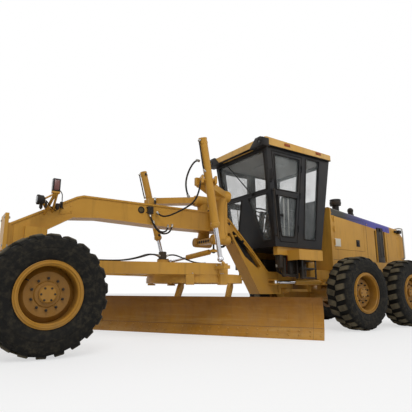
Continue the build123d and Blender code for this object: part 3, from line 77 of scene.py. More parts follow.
# Shader maths: a wire is a socket that can be added, multiplied and so on
class Wire:
    def __init__(self, paint, socket):
        self.paint = paint
        self.socket = socket

    def math(self, operation, first, second):
        return self.paint.node("Math", {0: first, 1: second}, operation=operation)

    def __add__(self, other):
        return self.math("ADD", self, other)

    def __radd__(self, other):
        return self.math("ADD", other, self)

    def __sub__(self, other):
        return self.math("SUBTRACT", self, other)

    def __rsub__(self, other):
        return self.math("SUBTRACT", other, self)

    def __mul__(self, other):
        return self.math("MULTIPLY", self, other)

    def __rmul__(self, other):
        return self.math("MULTIPLY", other, self)

    def size(self):
        return self.paint.node("Math", {0: self}, operation="ABSOLUTE")

    def atLeast(self, other):
        return self.math("MAXIMUM", self, other)

    def over(self, level, width):
        # 0 below the level, 1 above it, with a soft step of the given width
        return self.paint.node("MapRange", {0: self, 1: level - width, 2: level + width}, clamp=True)

    def under(self, level, width):
        return 1 - self.over(level, width)

    def within(self, low, high, width):
        return self.over(low, width) * self.under(high, width)


class Paint:
    def __init__(self, name):
        self.material = bpy.data.materials.new(name)
        self.material.use_nodes = True
        self.tree = self.material.node_tree
        self.shader = self.tree.nodes["Principled BSDF"]

    def node(self, kind, sockets=None, out=0, **settings):
        node = self.tree.nodes.new("ShaderNode" + kind)
        for name, value in settings.items():
            setattr(node, name, value)
        self.fill(node, sockets or {})
        return Wire(self, node.outputs[out])

    def fill(self, node, sockets):
        for name, value in sockets.items():
            if isinstance(value, Wire):
                self.tree.links.new(value.socket, node.inputs[name])
            else:
                node.inputs[name].default_value = value

    def set(self, **values):
        # Socket names are given with their spaces left out
        names = {socket.name.replace(" ", ""): socket.name for socket in self.shader.inputs}
        self.fill(self.shader, {names[key]: value for key, value in values.items()})
        return self.material

    def place(self):
        return self.node("TexCoord", out=3)

    def along(self, letter):
        return self.node("SeparateXYZ", {0: self.place()}, out="XYZ".index(letter))

    def back(self):
        # Distance behind the front axle, in metres
        return frontAxle / 1000 - self.along("X")

    def across(self):
        return self.along("Y") + sideOffset / 1000

    def around(self):
        # What a turned piece's own map holds ahead: its radius, in metres
        mapped = self.node("UVMap", uv_map="turned")
        return self.node("SeparateXYZ", {0: mapped})

    def noise(self, scale, detail=3.0, rough=0.55, warp=0.0, stretch=None):
        where = self.place()
        if stretch:
            where = self.node("Mapping", {0: where, 3: stretch})
        sockets = {"Vector": where, "Scale": scale, "Detail": detail, "Roughness": rough, "Distortion": warp}
        return self.node("TexNoise", sockets)

    def wave(self, scale, warp=0.0, **settings):
        return self.node("TexWave", {"Vector": self.place(), "Scale": scale, "Distortion": warp}, **settings)

    def mix(self, factor, first, second):
        # Colours are given as finishes by name, as numbers on screen or as wires
        wires = [factor, *(one if isinstance(one, Wire) else linear(one) for one in (first, second))]
        return self.node("Mix", dict(zip((0, 6, 7), wires)), out=2, data_type="RGBA")

    def bump(self, height, strength, distance):
        return self.node("Bump", {"Height": height, "Strength": strength, "Distance": distance})


# Colours as seen on screen, 0 to 255
finishes = {
    "yellow": (198, 148, 58),
    "yellowDeep": (172, 124, 44),
    "yellowWorn": (110, 78, 38),
    "roofPale": (204, 164, 96),
    "rimYellow": (176, 126, 36),
    "rimDeep": (140, 96, 28),
    "rimShade": (98, 62, 20),
    "boardYellow": (190, 134, 32),
    "boardDeep": (160, 108, 20),
    # painted shade for the moldboard's upper part
    "boardUpper": (116, 70, 6),
    "boardPale": (206, 170, 96),
    "dust": (158, 132, 98),
    "grime": (62, 46, 28),
    "charcoal": (14, 16, 20),
    "rubber": (19, 18, 16),
    "rubberDust": (118, 108, 86),
    "bandGrey": (50, 48, 42),
    "bandBlue": (76, 72, 150),
    "glassTint": (128, 134, 134),
    "glassSmear": (160, 164, 162),
    "rod": (214, 214, 218),
    "rodFilm": (150, 134, 108),
    "clothDark": (34, 34, 38),
    "clothLight": (58, 58, 64),
    "clothWorn": (84, 80, 74),
}


def linear(colour):
    # A finish or a colour on screen, as the renderer wants it
    def one(c):
        c = c / 255
        return c / 12.92 if c <= 0.04045 else ((c + 0.055) / 1.055) ** 2.4
    return (*(one(c) for c in finishes.get(colour, colour)), 1)


def makeYellow(name, dustTop=0.9, first="yellow", second="yellowDeep", extra=None, coat=0.08):
    # Enamel with slow colour changes, dust low down, grime streaks and small chips
    paint = Paint(name)
    fine = paint.noise(38.0, 5.0, 0.65)
    colour = paint.mix(paint.noise(1.3, 4.0).over(0.5, 0.28), first, second)
    if extra:
        colour = extra(paint, colour)
    streak = paint.noise(9.0, 4.0, 0.6, 0.4, (1.0, 1.0, 0.12)).over(0.62, 0.1) * 0.22
    colour = paint.mix(streak, colour, "grime")
    low = 1 - paint.along("Z").over(dustTop, 0.5)
    dust = low * paint.noise(5.0, 6.0, 0.7).over(0.5, 0.2) * 0.35
    colour = paint.mix(dust, colour, "dust")
    chips = paint.noise(60.0, 4.0, 0.7).over(0.71, 0.02) * 0.7
    colour = paint.mix(chips, colour, "yellowWorn")
    rough = 0.36 + 0.3 * dust + 0.14 * fine
    normal = paint.bump(paint.noise(140.0, 2.0) + 0.6 * paint.noise(6.0, 2.0), 0.08, 0.003)
    return paint.set(BaseColor=colour, Roughness=rough, Normal=normal, SpecularIORLevel=0.22, CoatWeight=coat,
                     CoatRoughness=0.24)


def makeDark(name, colour, roughness, dusty, metal=0.0):
    paint = Paint(name)
    grey = paint.mix(paint.noise(3.0, 5.0).over(0.55, 0.2) * dusty, colour, "dust")
    rough = roughness + 0.15 * paint.noise(24.0, 4.0)
    normal = paint.bump(paint.noise(220.0, 2.0), 0.08, 0.001)
    return paint.set(BaseColor=grey, Roughness=rough, Normal=normal, Metallic=metal, SpecularIORLevel=0.2)


# Where a tyre's lugs and shoulder end, as radii in metres
treadRadius = {"top": 0.63, "shoulder": 0.6}


def makeRubber():
    # The lugs' tops and the shoulder carry dust, the grooves and the walls stay black
    paint = Paint("tyreRubber")
    radius = paint.around()
    speckle = paint.noise(14.0, 6.0, 0.7)
    top = radius.over(treadRadius["top"], 0.012) * (0.5 + 0.5 * speckle.over(0.45, 0.2))
    wall = radius.under(treadRadius["shoulder"], 0.02) * speckle.over(0.6, 0.14) * 0.22
    dust = paint.noise(3.0, 4.0).over(0.38, 0.2) * (top * 0.75 + wall)
    colour = paint.mix(dust, "rubber", "rubberDust")
    normal = paint.bump(paint.noise(90.0, 4.0) + 0.5 * paint.noise(400.0, 2.0), 0.3, 0.003)
    return paint.set(BaseColor=colour, Roughness=0.72 + 0.16 * dust, Normal=normal, SpecularIORLevel=0.15)


def makeChrome():
    paint = Paint("chromeRod")
    rough = 0.1 + 0.12 * paint.noise(60.0, 3.0)
    film = paint.noise(5.0, 4.0).over(0.6, 0.15) * 0.3
    return paint.set(BaseColor=paint.mix(film, "rod", "rodFilm"), Metallic=1.0, Roughness=rough)


def makeGlass():
    paint = Paint("tintedGlass")
    smear = paint.noise(4.0, 3.0).over(0.55, 0.2)
    return paint.set(BaseColor=paint.mix(smear, "glassTint", "glassSmear"), Roughness=0.03 + 0.08 * smear,
                     Alpha=0.12 + 0.1 * smear, CoatWeight=0.2)


# Panes of a cab door as (back, height) corners: foot front, foot rear, head rear, head front
doorPanes = {
    "upper": [(3790, 2440), (4320, 2440), (4362, 3070), (3725, 3070)],
    "lower": [(3925, 1620), (4250, 1620), (4300, 2340), (3800, 2340)],
}
paneRound = 0.055


def insidePane(paint, corners):
    # 1 inside the four-sided pane with rounded corners, 0 outside it
    back, height = paint.back(), paint.along("Z")
    corners = [(b / 1000, z / 1000) for b, z in corners]
    reach = []
    for (b0, z0), (b1, z1) in zip(corners, corners[1:] + corners[:1]):
        length = math.dist((b0, z0), (b1, z1))
        outward = (back - b0) * ((z1 - z0) / length) - (height - z0) * ((b1 - b0) / length)
        reach.append((outward + paneRound).atLeast(0.0))
    foot, rear, head, front = reach
    long, tall = rear.atLeast(front), foot.atLeast(head)
    span = paint.node("Math", {0: long * long + tall * tall, 1: 0.5}, operation="POWER")
    return span.under(paneRound - 0.0015, 0.0005)


def makeDoor():
    # A door is one solid with its panes: charcoal with tinted glass inside the panes' outlines
    paint = Paint("cabDoor")
    pane = insidePane(paint, doorPanes["upper"]) + insidePane(paint, doorPanes["lower"])
    smear = paint.noise(4.0, 3.0).over(0.55, 0.2)
    border = paint.mix(paint.noise(3.0, 5.0).over(0.55, 0.2) * 0.04, "charcoal", "dust")
    clear = paint.mix(smear, "glassTint", "glassSmear")
    return paint.set(BaseColor=paint.mix(pane, border, clear), Roughness=0.34 - 0.3 * pane + 0.08 * smear,
                     Alpha=1 - pane * (0.8 - 0.1 * smear), SpecularIORLevel=0.2)


def makeLens(name, colour):
    paint = Paint(name)
    ribs = paint.wave(60.0, 0.4)
    shade = paint.mix(ribs, colour, tuple(c * 0.72 for c in colour))
    normal = paint.bump(ribs, 0.3, 0.002)
    return paint.set(BaseColor=shade, Roughness=0.12 + 0.1 * ribs, Normal=normal, CoatWeight=0.6)


def makeFabric():
    paint = Paint("seatCloth")
    weave = paint.wave(260.0, bands_direction="Y") * paint.wave(260.0, bands_direction="X")
    worn = paint.noise(5.0, 4.0).over(0.55, 0.2) * 0.4
    colour = paint.mix(worn, paint.mix(weave, "clothDark", "clothLight"), "clothWorn")
    return paint.set(BaseColor=colour, Roughness=0.85, Normal=paint.bump(weave, 0.5, 0.001), SheenWeight=0.2)


# The hood's coloured band and the moldboard's lines, in metres
bandSize = {"top": 2.35, "topBack": 5.42, "fall": 0.1138, "depth": (0.004, 0.165), "side": 0.473,
            "blueFrom": 6.3,
            "ends": (5.445, 7.42)}
boardMarks = {"seam": (0.157, 0.163), "bits": ((1.895, 1.899), (-1.779, -1.775)), "bitsTop": 0.52,
              "shadeFrom": 0.3,
              "streaksTop": 0.42, "angle": 34.75, "circle": 2.55}


def hoodBand(paint, colour):
    # A dark band below the hood's sloping top edge, grey ahead and blue-violet behind
    back, height = paint.back(), paint.along("Z")
    below = bandSize["top"] - bandSize["fall"] * (back - bandSize["topBack"]) - height
    side = paint.across().size().over(bandSize["side"], 0.002)
    band = below.within(*bandSize["depth"], 0.002) * side * back.within(*bandSize["ends"], 0.002)
    shade = paint.mix(back.over(bandSize["blueFrom"], 0.5), "bandGrey", "bandBlue")
    return paint.mix(band, colour, shade)


def boardShade(paint, colour):
    # The moldboard's upper part is painted darker than its foot: painted shade, broken up by noise
    height = paint.along("Z")
    shadeBreakup = paint.noise(4.0, 6.0, 0.65, 0.5, (1.0, 1.0, 3.0))
    upper = height.over(boardMarks["shadeFrom"], 0.22) * (0.6 + 0.35 * shadeBreakup.over(0.5, 0.25))
    colour = paint.mix(upper, colour, "boardUpper")
    # Place along the turned board, for the line of the end bits
    way = math.radians(boardMarks["angle"])
    along = (paint.back() - boardMarks["circle"]) * math.sin(way) + paint.across() * math.cos(way)
    first, second = (along.within(*ends, 0.001) for ends in boardMarks["bits"])
    seam = height.within(*boardMarks["seam"], 0.002)
    lines = seam * 0.8 + (first + second) * height.under(boardMarks["bitsTop"], 0.01) * 0.7
    streaks = paint.noise(3.0, 6.0, 0.6, 0.8, (0.25, 0.25, 4.0)).over(0.6, 0.1)
    streaks = streaks * height.under(boardMarks["streaksTop"], 0.1) * 0.35
    return paint.mix(lines, paint.mix(streaks, colour, "boardPale"), "grime")


def rimShade(paint, colour):
    # The dished disc lies in shade and brake dust
    depth = paint.across().size().under(1.215, 0.05)
    return paint.mix(depth * 0.55, colour, "rimShade")


yellow = makeYellow("yellowPaint")
hoodPaint = makeYellow("hoodPaint", extra=hoodBand)
boardPaint = makeYellow("boardPaint", 0.5, "boardYellow", "boardDeep", boardShade, 0.14)
rimPaint = makeYellow("rimPaint", 0.6, "rimYellow", "rimDeep", rimShade)
roofPaint = makeYellow("roofPaint", 0.6, "roofPale", "yellow")
doorPaint = makeDoor()
# Name, colour, roughness, share of dust, metal
charcoal = makeDark("charcoalPaint", "charcoal", 0.34, 0.04)
blackSteel = makeDark("blackSteel", (24, 24, 25), 0.42, 0.16)
blackPlastic = makeDark("blackPlastic", (20, 20, 22), 0.45, 0.06)
hoseRubber = makeDark("hoseRubber", (16, 16, 17), 0.5, 0.1)
headliner = makeDark("headliner", (150, 150, 147), 0.7, 0.1)
steel = makeDark("bareSteel", (168, 166, 160), 0.28, 0.2, 0.9)
redPaint = makeDark("redOrangePaint", (158, 66, 30), 0.4, 0.15)
markerPaint = makeDark("markerOrange", (140, 62, 18), 0.3, 0.1)
platePaint = makeDark("palePlate", (206, 200, 184), 0.5, 0.1)
meshPaint = makeDark("oliveMesh", (70, 62, 36), 0.6, 0.3)
rubber = makeRubber()
chrome = makeChrome()
glass = makeGlass()
fabric = makeFabric()
clearLens = makeLens("clearLens", (168, 170, 172))
redLens = makeLens("redBrownLens", (112, 44, 30))
slots = {
    "yellow_paint": yellow, "charcoal_paint": charcoal, "black_steel": blackSteel, "tyre": rubber,
    "chrome": chrome, "glass": glass, "black_plastic": blackPlastic, "seat_fabric": fabric,
}
ownPaint = {"moldboard": boardPaint, "cab_roof": roofPaint, "hood": hoodPaint}
ownPaint |= {f"hood_door_{word}": hoodPaint for word in ("left", "right")}
ownPaint |= {f"cab_door_{word}": doorPaint for word in ("left", "right")}
ownPaint |= {name: rimPaint for name in nodes if name.startswith("rim_")}
for piece in frame["record"]["subparts"]:
    mesh = nodes[piece["node"]].data
    mesh.materials.clear()
    mesh.materials.append(ownPaint.get(piece["node"], slots[piece["material_slot"]]))
print("materials done")

# A bolt's washer as a share of its head, and how far they stand out
boltSize = {"washer": 1.5, "washerTop": 2, "sunk": 1, "bevel": 1}


# One piece is grown in a bmesh from boxes, rods, turned outlines and plates, all in the machine's places
class Shape:
    def __init__(self):
        self.form = bmesh.new()

    def bevel(self, edges, size):
        if size:
            bmesh.ops.bevel(self.form, geom=list(edges), offset=size / 1000, affect="EDGES", segments=2,
                            profile=0.5, material=-1)

    def soften(self, verts, size):
        self.bevel(dict.fromkeys(edge for vert in verts for edge in vert.link_edges), size)

    def box(self, back, across, height, bevel=0, turn=(0, 0, 0)):
        low, high = spot(back[0], across[0], height[0]), spot(back[1], across[1], height[1])
        size = [abs(a - b) for a, b in zip(low, high)]
        turned = Euler([math.radians(t) for t in turn]).to_matrix().to_4x4()
        place = Matrix.Translation((low + high) / 2) @ turned @ Matrix.Diagonal((*size, 1))
        self.soften(bmesh.ops.create_cube(self.form, size=1, matrix=place)["verts"], bevel)

    def boxes(self, rows, bevel=0, side=1):
        # Each row holds a box's ends along, across and in height
        for b0, b1, y0, y1, z0, z1 in rows:
            self.box((b0, b1), (side * y0, side * y1), (z0, z1), bevel)

    def aim(self, start, end):
        p, q = spot(*start), spot(*end)
        return p, q, (q - p).to_track_quat("Z", "Y").to_matrix().to_4x4()

    def rod(self, start, end, radius, tip=None, sides=20, bevel=0):
        p, q, turned = self.aim(start, end)
        tip = radius if tip is None else tip
        made = bmesh.ops.create_cone(
            self.form, cap_ends=True, segments=sides, radius1=radius / 1000, radius2=tip / 1000,
            depth=(q - p).length, matrix=Matrix.Translation((p + q) / 2) @ turned)
        edges = dict.fromkeys(edge for vert in made["verts"] for edge in vert.link_edges)
        self.bevel([edge for edge in edges if any(len(face.verts) == sides for face in edge.link_faces)],
                   bevel)

    def turn(self, outline, start, towards, steps=40):
        # An outline of (radius, distance along) points spun about the line from start
        p, q, turned = self.aim(start, towards)
        place = Matrix.Translation(p) @ turned
        verts = [self.form.verts.new(place @ Vector((r / 1000, 0, a / 1000))) for r, a in outline]
        edges = [self.form.edges.new(pair) for pair in zip(verts, verts[1:])]
        bmesh.ops.spin(self.form, geom=verts + edges, cent=p, axis=(q - p).normalized(), dvec=(0, 0, 0),
                       angle=math.tau, steps=steps, use_merge=True)
        bmesh.ops.remove_doubles(self.form, verts=self.form.verts, dist=0.00002)

    def plate(self, view, outline, span, bevel=0):
        # view side: (back, height) points; plan: (back, across); front: (across, height)
        places = {"side": lambda a, b, s: spot(a, s, b), "plan": lambda a, b, s: spot(a, b, s),
                  "front": lambda a, b, s: spot(s, a, b)}
        near, far = ([places[view](a, b, s) for a, b in outline] for s in span)
        verts = [self.form.verts.new(place) for place in near]
        made = bmesh.ops.extrude_face_region(self.form, geom=[self.form.faces.new(verts)])
        moved = [item for item in made["geom"] if isinstance(item, bmesh.types.BMVert)]
        bmesh.ops.translate(self.form, verts=moved, vec=far[0] - near[0])
        self.soften(verts + moved, bevel)

    def bolt(self, place, towards, size=11, height=9):
        # A hexagon head on a washer, pointing from its seat towards a second place
        foot = between(place, towards, -boltSize["sunk"])
        self.rod(foot, between(place, towards, boltSize["washerTop"]), size * boltSize["washer"], sides=16)
        foot = between(place, towards, boltSize["sunk"])
        self.rod(foot, between(place, towards, height), size, sides=6, bevel=boltSize["bevel"])

    def done(self, name, material, body, replaces=(), angle=38):
        bmesh.ops.recalc_face_normals(self.form, faces=self.form.faces)
        mesh = bpy.data.meshes.new(name)
        self.form.to_mesh(mesh)
        self.form.free()
        return finishPiece(name, mesh, material, body, replaces, angle)


def finishPiece(name, mesh, material, body, replaces=(), angle=38):
    for polygon in mesh.polygons:
        polygon.use_smooth = True
    mesh.set_sharp_from_angle(angle=math.radians(angle))
    mesh.materials.clear()
    mesh.materials.append(material)
    piece = bpy.data.objects.new(name, mesh)
    bpy.context.collection.objects.link(piece)
    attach(piece, body)
    if replaces:
        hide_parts(*replaces)
    return piece


def makeBeads(name, radius, routes, material, body, rings=3, steps=5, closed=False):
    # Round beads along smooth routes, as one mesh
    data = bpy.data.curves.new(name, "CURVE")
    data.dimensions = "3D"
    data.bevel_depth = radius / 1000
    data.bevel_resolution = rings
    data.resolution_u = steps
    data.use_fill_caps = not closed
    for route in routes:
        line = data.splines.new("NURBS")
        line.points.add(len(route) - 1)
        for point, place in zip(line.points, route):
            point.co = (*spot(*place), 1)
        line.order_u = 3
        line.use_cyclic_u = closed
        line.use_endpoint_u = not closed
    carrier = bpy.data.objects.new(name + "Curve", data)
    bpy.context.collection.objects.link(carrier)
    mesh = bpy.data.meshes.new_from_object(carrier)
    bpy.data.objects.remove(carrier)
    finishPiece(name, mesh, material, body, angle=60)


# A hose's crimp and its hexagon as shares of the hose's radius
crimpSize = {"radius": 1.35, "length": 4, "nut": 1.7, "nutLength": 1.2}


def makeHoses(name, radius, routes, body, ends=True):
    # Hoses with a crimped steel end where each meets its port
    makeBeads(name, radius, routes, hoseRubber, body)
    if not ends:
        return
    crimps = Shape()
    for route in routes:
        for first, second in (route[:2], route[:-3:-1]):
            crimps.rod(between(first, second, -4), between(first, second, radius * crimpSize["length"]),
                       radius * crimpSize["radius"], sides=14, bevel=1.5)
            crimps.rod(between(first, second, -6), between(first, second, radius * crimpSize["nutLength"]),
                       radius * crimpSize["nut"], sides=6, bevel=1)
    crimps.done(name + "Ends", steel, body)


# Tyres: a turned casing with two rows of slanted lugs
tyreSize = {
    "radius": 650, "half": 222, "lugs": 22, "lugLength": 98, "slant": 14, "slantAbout": 50, "lugBevel": 6,
    "axleHeight": 650, "track": 1077, "backs": {"front": 0, "middle": 5372, "rear": 6908},
    # casing: radius, distance from the middle
    "casing": [(614, 0), (615, 90), (613, 150), (604, 188), (588, 206), (575, 214), (560, 214), (556, 218),
               (520, 222), (490, 222), (486, 219), (470, 219), (466, 221), (440, 218), (410, 210),
               (396, 203), (384, 202),
               (372, 194), (358, 183), (357, 179), (330, 179)],
    # one lug seen along the tread: distance from the middle, radius
    "lug": [(6, 608), (14, 646), (60, 650), (130, 648), (170, 637), (200, 613), (214, 586), (205, 578),
            (160, 600)],
}


def turnedMap(mesh, middle):
    # Each corner's radius and place across, for the materials of turned pieces
    layer = mesh.uv_layers.new(name="turned")
    for loop in mesh.loops:
        place = mesh.vertices[loop.vertex_index].co - middle
        layer.data[loop.index].uv = (math.hypot(place.x, place.z), place.y)


def makeLugs(form, middle, row):
    # One slanted lug on the given side of the middle, then its copies around
    points = [middle + Vector((0, row * y / 1000, r / 1000)) for y, r in tyreSize["lug"]]
    length = Vector((tyreSize["lugLength"] / 1000, 0, 0))
    verts = [form.verts.new(p - length / 2) for p in points]
    made = bmesh.ops.extrude_face_region(form, geom=[form.faces.new(verts)])
    moved = [item for item in made["geom"] if isinstance(item, bmesh.types.BMVert)]
    bmesh.ops.translate(form, verts=moved, vec=length)
    lug = verts + moved
    bmesh.ops.rotate(form, verts=lug, cent=middle + Vector((0, row * tyreSize["slantAbout"] / 1000, 0)),
                     matrix=Matrix.Rotation(math.radians(row * tyreSize["slant"]), 3, "Z"))
    edges = list(dict.fromkeys(edge for vert in lug for edge in vert.link_edges))
    made = bmesh.ops.bevel(form, geom=edges, offset=tyreSize["lugBevel"] / 1000, affect="EDGES", segments=1,
                           profile=0.5, material=-1)
    faces = dict.fromkeys(made["faces"] + [face for vert in made["verts"] for face in vert.link_faces])
    lug = list(dict.fromkeys(vert for face in faces for vert in face.verts))
    step = math.tau / tyreSize["lugs"]
    if row < 0:
        bmesh.ops.rotate(form, verts=lug, cent=middle, matrix=Matrix.Rotation(step / 2, 3, "Y"))
    whole = [*faces, *dict.fromkeys(edge for face in faces for edge in face.edges), *lug]
    for n in range(1, tyreSize["lugs"]):
        copied = bmesh.ops.duplicate(form, geom=whole)["geom"]
        verts = [item for item in copied if isinstance(item, bmesh.types.BMVert)]
        bmesh.ops.rotate(form, verts=verts, cent=middle, matrix=Matrix.Rotation(step * n, 3, "Y"))


def makeTyre(word, side):
    low = tyreSize["axleHeight"]
    back, across = tyreSize["backs"][word], side * tyreSize["track"]
    middle = spot(back, across, low)
    tyre = Shape()
    outline = [(r, -a) for r, a in reversed(tyreSize["casing"])] + tyreSize["casing"][1:]
    tyre.turn(outline, (back, across, low), (back, across + 100, low), 88)
    makeLugs(tyre.form, middle, 1)
    makeLugs(tyre.form, middle, -1)
    # No lug reaches past the tyre's own size
    most, half = tyreSize["radius"] / 1000, tyreSize["half"] / 1000
    for vert in tyre.form.verts:
        place = vert.co - middle
        share = min(1, most / max(math.hypot(place.x, place.z), most / 10))
        aside = min(max(place.y, -half), half)
        vert.co = middle + Vector((place.x * share, aside, place.z * share))
    name = f"{word}_{sideWord(side)}"
    piece = tyre.done(f"tyre_{name}_tread", rubber, f"wheel_{name}", (f"tyre_{name}",), 32)
    turnedMap(piece.data, middle)


wheelSize = {
    "disc": 72, "nuts": 10, "nutCircle": 167, "capBolts": 6, "capCircle": 70, "cap": 59,
    "rings": ([(322, 118), (336, 121), (340, 128), (336, 135), (322, 138)],
              [(352, 108), (357, 112), (357, 120), (352, 122)]),
}


def makeWheelParts(word, side):
    # Nuts on the disc, small bolts on the hub cap, the valve and lock rings in the flange
    back, low = tyreSize["backs"][word], tyreSize["axleHeight"]
    disc = side * (tyreSize["track"] + wheelSize["disc"])
    body = f"wheel_{word}_{sideWord(side)}"
    nuts, ring, valve = Shape(), Shape(), Shape()

    def at(radius, angle, out):
        return (back - radius * math.cos(angle), disc + side * out, low + radius * math.sin(angle))
    for n in range(wheelSize["nuts"]):
        angle = math.tau * (n + 0.5) / wheelSize["nuts"]
        foot, seat, top, tip = (at(wheelSize["nutCircle"], angle, out) for out in (4, 24, 26, 38))
        nuts.rod(foot, top, 15, sides=6, bevel=2)
        nuts.rod(seat, tip, 8, sides=12, bevel=1)
    for n in range(wheelSize["capBolts"]):
        angle = math.tau * n / wheelSize["capBolts"]
        foot, top = (at(wheelSize["capCircle"], angle, wheelSize["cap"] + out) for out in (0, 21))
        nuts.bolt(foot, top, 8, 8)
    nuts.done(body + "_nuts", blackSteel, body)
    for outline in wheelSize["rings"]:
        ring.turn(outline, (back, disc, low), (back, disc + side * 100, low), 64)
    ring.done(body + "_rings", rimPaint, body)
    valve.rod(at(276, 0.6, 0), at(262, 0.6, 60), 7, 5, bevel=1)
    valve.rod(at(262, 0.6, 60), at(258, 0.6, 78), 8, bevel=2)
    valve.done(body + "_valve", blackPlastic, body)


for word in tyreSize["backs"]:
    for side in (1, -1):
        makeTyre(word, side)
        makeWheelParts(word, side)
print("wheels done")


# Front frame: nose bolts, ports and boxes on the beam, lamps
noseSize = {"front": -380, "rear": -335, "halfAcross": 170, "heights": (1238, 1598), "bolt": 13,
            "foot": [(-200, 1186), (200, 1186), (200, 1200), (-200, 1200)]}


def makeNose():
    heads, pads = Shape(), Shape()
    front, rear = noseSize["front"], noseSize["rear"]
    for y in (-noseSize["halfAcross"], noseSize["halfAcross"]):
        for z in noseSize["heights"]:
            heads.bolt((front, y, z), (front - 50, y, z), noseSize["bolt"], 12)
            heads.rod((rear, y, z), (rear + 17, y, z), 17, sides=6, bevel=1)
    heads.done("nosePlateBolts", steel, "front_frame")
    pads.plate("front", noseSize["foot"], (front + 1, rear - 1), 1)
    pads.done("nosePlateFoot", yellow, "front_frame")


beamSide = {
    "web": 134, "port": (1494, 1905), "rim": [(37, 0), (52, 0), (54, 7), (50, 12), (41, 12), (37, 6)],
    "cover": [(0, 7), (32, 7), (38, 3), (38, 0)], "box": (1639, 1912),
    # the box, its lid and its two lugs: ends along, out from the web and in height, about the box's middle
    "boxParts": [(-46, 46, 0, 46, -56, 56, 6), (-20, 20, 45, 58, -34, -8, 3), (-60, 60, 0, 8, -46, -30, 2),
                 (-60, 60, 0, 8, 30, 46, 2)],
    "patch": [(280, 1700), (456, 1745), (440, 1860), (300, 1800)],
    "patchBolts": [(300, 1730), (436, 1765), (425, 1838), (312, 1790)], "patchDepth": 9,
}


def makeBeamSide(side):
    word, web = sideWord(side), side * beamSide["web"]
    rim, cover, black, patch = Shape(), Shape(), Shape(), Shape()
    back, height = beamSide["port"]
    for piece, outline in ((rim, beamSide["rim"]), (cover, beamSide["cover"])):
        piece.turn(outline, (back, web, height), (back, web + side * 50, height))
    rim.done(f"portRim_{word}", blackPlastic, "front_frame")
    cover.done(f"portCover_{word}", meshPaint, "front_frame")
    back, height = beamSide["box"]
    for b0, b1, y0, y1, z0, z1, bevel in beamSide["boxParts"]:
        black.box((back + b0, back + b1), (web + side * y0, web + side * y1), (height + z0, height + z1),
                  bevel)
    black.done(f"valveBox_{word}", blackSteel, "front_frame")
    face = web + side * beamSide["patchDepth"]
    patch.plate("side", beamSide["patch"], (web, face), 2)
    for b, z in beamSide["patchBolts"]:
        patch.bolt((b, face, z), (b, face + side * 50, z), 8, 8)
    patch.done(f"bendPatch_{word}", yellow, "front_frame")


# Lamps: the round one, and the tall box with a clear pane ahead and red-brown ones at its sides
frontLamp = {
    "round": (-34, 400, 1824), "shell": [(0, -70), (34, -68), (60, -48), (62, -8), (65, 0), (65, 26),
                                         (57, 30),
                                         (53, 24), (53, 10), (0, 10)],
    "lens": [(53, 14), (48, 24), (37.2, 31), (0, 35)],
    "front": 112, "rear": 208, "inner": 361, "outer": 439, "foot": 1954, "top": 2126, "border": 18,
    "edge": 13,
    # start, end and radius of each arm from the beam and of the cross bars
    "arms": [((90, 128, 1690), (160, 404, 1940), 20), ((190, 128, 1730), (180, 404, 1936), 16),
             ((0, 400, 1812), (96, 196, 1752), 14), ((-4, 400, 1822), (150, 400, 1926), 12)],
    "shelf": (110, 210, 366, 434, 1930, 1956),
    "leads": [[(10, 400, 1840), (60, 380, 1830), (110, 300, 1790), (190, 180, 1760), (240, 138, 1750)],
              [(200, 400, 1985), (250, 380, 1960), (270, 300, 1880), (300, 190, 1810), (330, 138, 1790)]],
    # place and radius of the fittings at the lamps' foot
    "fittings": [(20, 250, 1775, 22), (70, 300, 1790, 18), (235, 215, 1795, 26), (290, 190, 1830, 20)],
}


def makeFrontLamps():
    shell, lens, red, arms, fittings = Shape(), Shape(), Shape(), Shape(), Shape()
    back, across, height = frontLamp["round"]
    for piece, outline in ((shell, frontLamp["shell"]), (lens, frontLamp["lens"])):
        piece.turn(outline, frontLamp["round"], (back - 50, across, height))
    front, rear, inner, outer = (frontLamp[key] for key in ("front", "rear", "inner", "outer"))
    border, edge = frontLamp["border"], frontLamp["edge"]
    shell.box((front, rear), (inner, outer), (frontLamp["foot"], frontLamp["top"]), 7)
    pane = (frontLamp["foot"] + border, frontLamp["top"] - border)
    lens.box((front - 6, front + 4), (inner + edge, outer - edge), pane, 4)
    for y in (inner, outer):
        red.box((front + 16, rear - 16), (y - 4, y + 4), pane, 3)
    shell.done("frontLampShells", blackPlastic, "front_frame", ("front_lamps",))
    lens.done("frontLampLenses", clearLens, "front_frame")
    red.done("frontLampRed", redLens, "front_frame")
    for start, end, radius in frontLamp["arms"]:
        arms.rod(start, end, radius, sides=12, bevel=1)
    arms.boxes([frontLamp["shelf"]], 3)
    arms.done("frontLampBrackets", yellow, "front_frame")
    makeHoses("frontLampLeads", 6, frontLamp["leads"], "front_frame", ends=False)
    for b, y, z, radius in frontLamp["fittings"]:
        fittings.rod((b, y, z - 30), (b, y, z + 42), radius, sides=14, bevel=3)
        fittings.rod((b, y, z - 46), (b, y, z - 28), radius * 0.6, sides=6, bevel=1)
    fittings.done("noseFittings", blackSteel, "front_frame")


makeNose()
makeBeamSide(1)
makeBeamSide(-1)
makeFrontLamps()
print("front frame done")


# Lift cylinders: gland, collars near the head, ports and a pipe that follows the barrel
liftSize = {
    "foot": (2445, 900, 1145), "head": (2030, 1044, 2900), "barrel": 0.27,
    "gland": [(36, -22), (44, -24), (50, -18), (50, 0), (68, 2), (70, 8), (70, 52), (62, 58)],
    "collars": ([(60, 1230), (67, 1234), (67, 1262), (60, 1266)],
                [(60, 1296), (65, 1298), (65, 1308), (0, 1314)]),
    "bolts": 8, "boltCircle": 46, "ports": (0.965, 0.5, 0.31), "portSize": 16,
    # share of the length, then how far ahead and out from the axis
    "pipe": [(0.975, -62, 20), (0.968, -80, 24), (0.95, -86, 26), (0.8, -86, 26), (0.73, -88, 30),
             (0.71, -70, 40)],
}


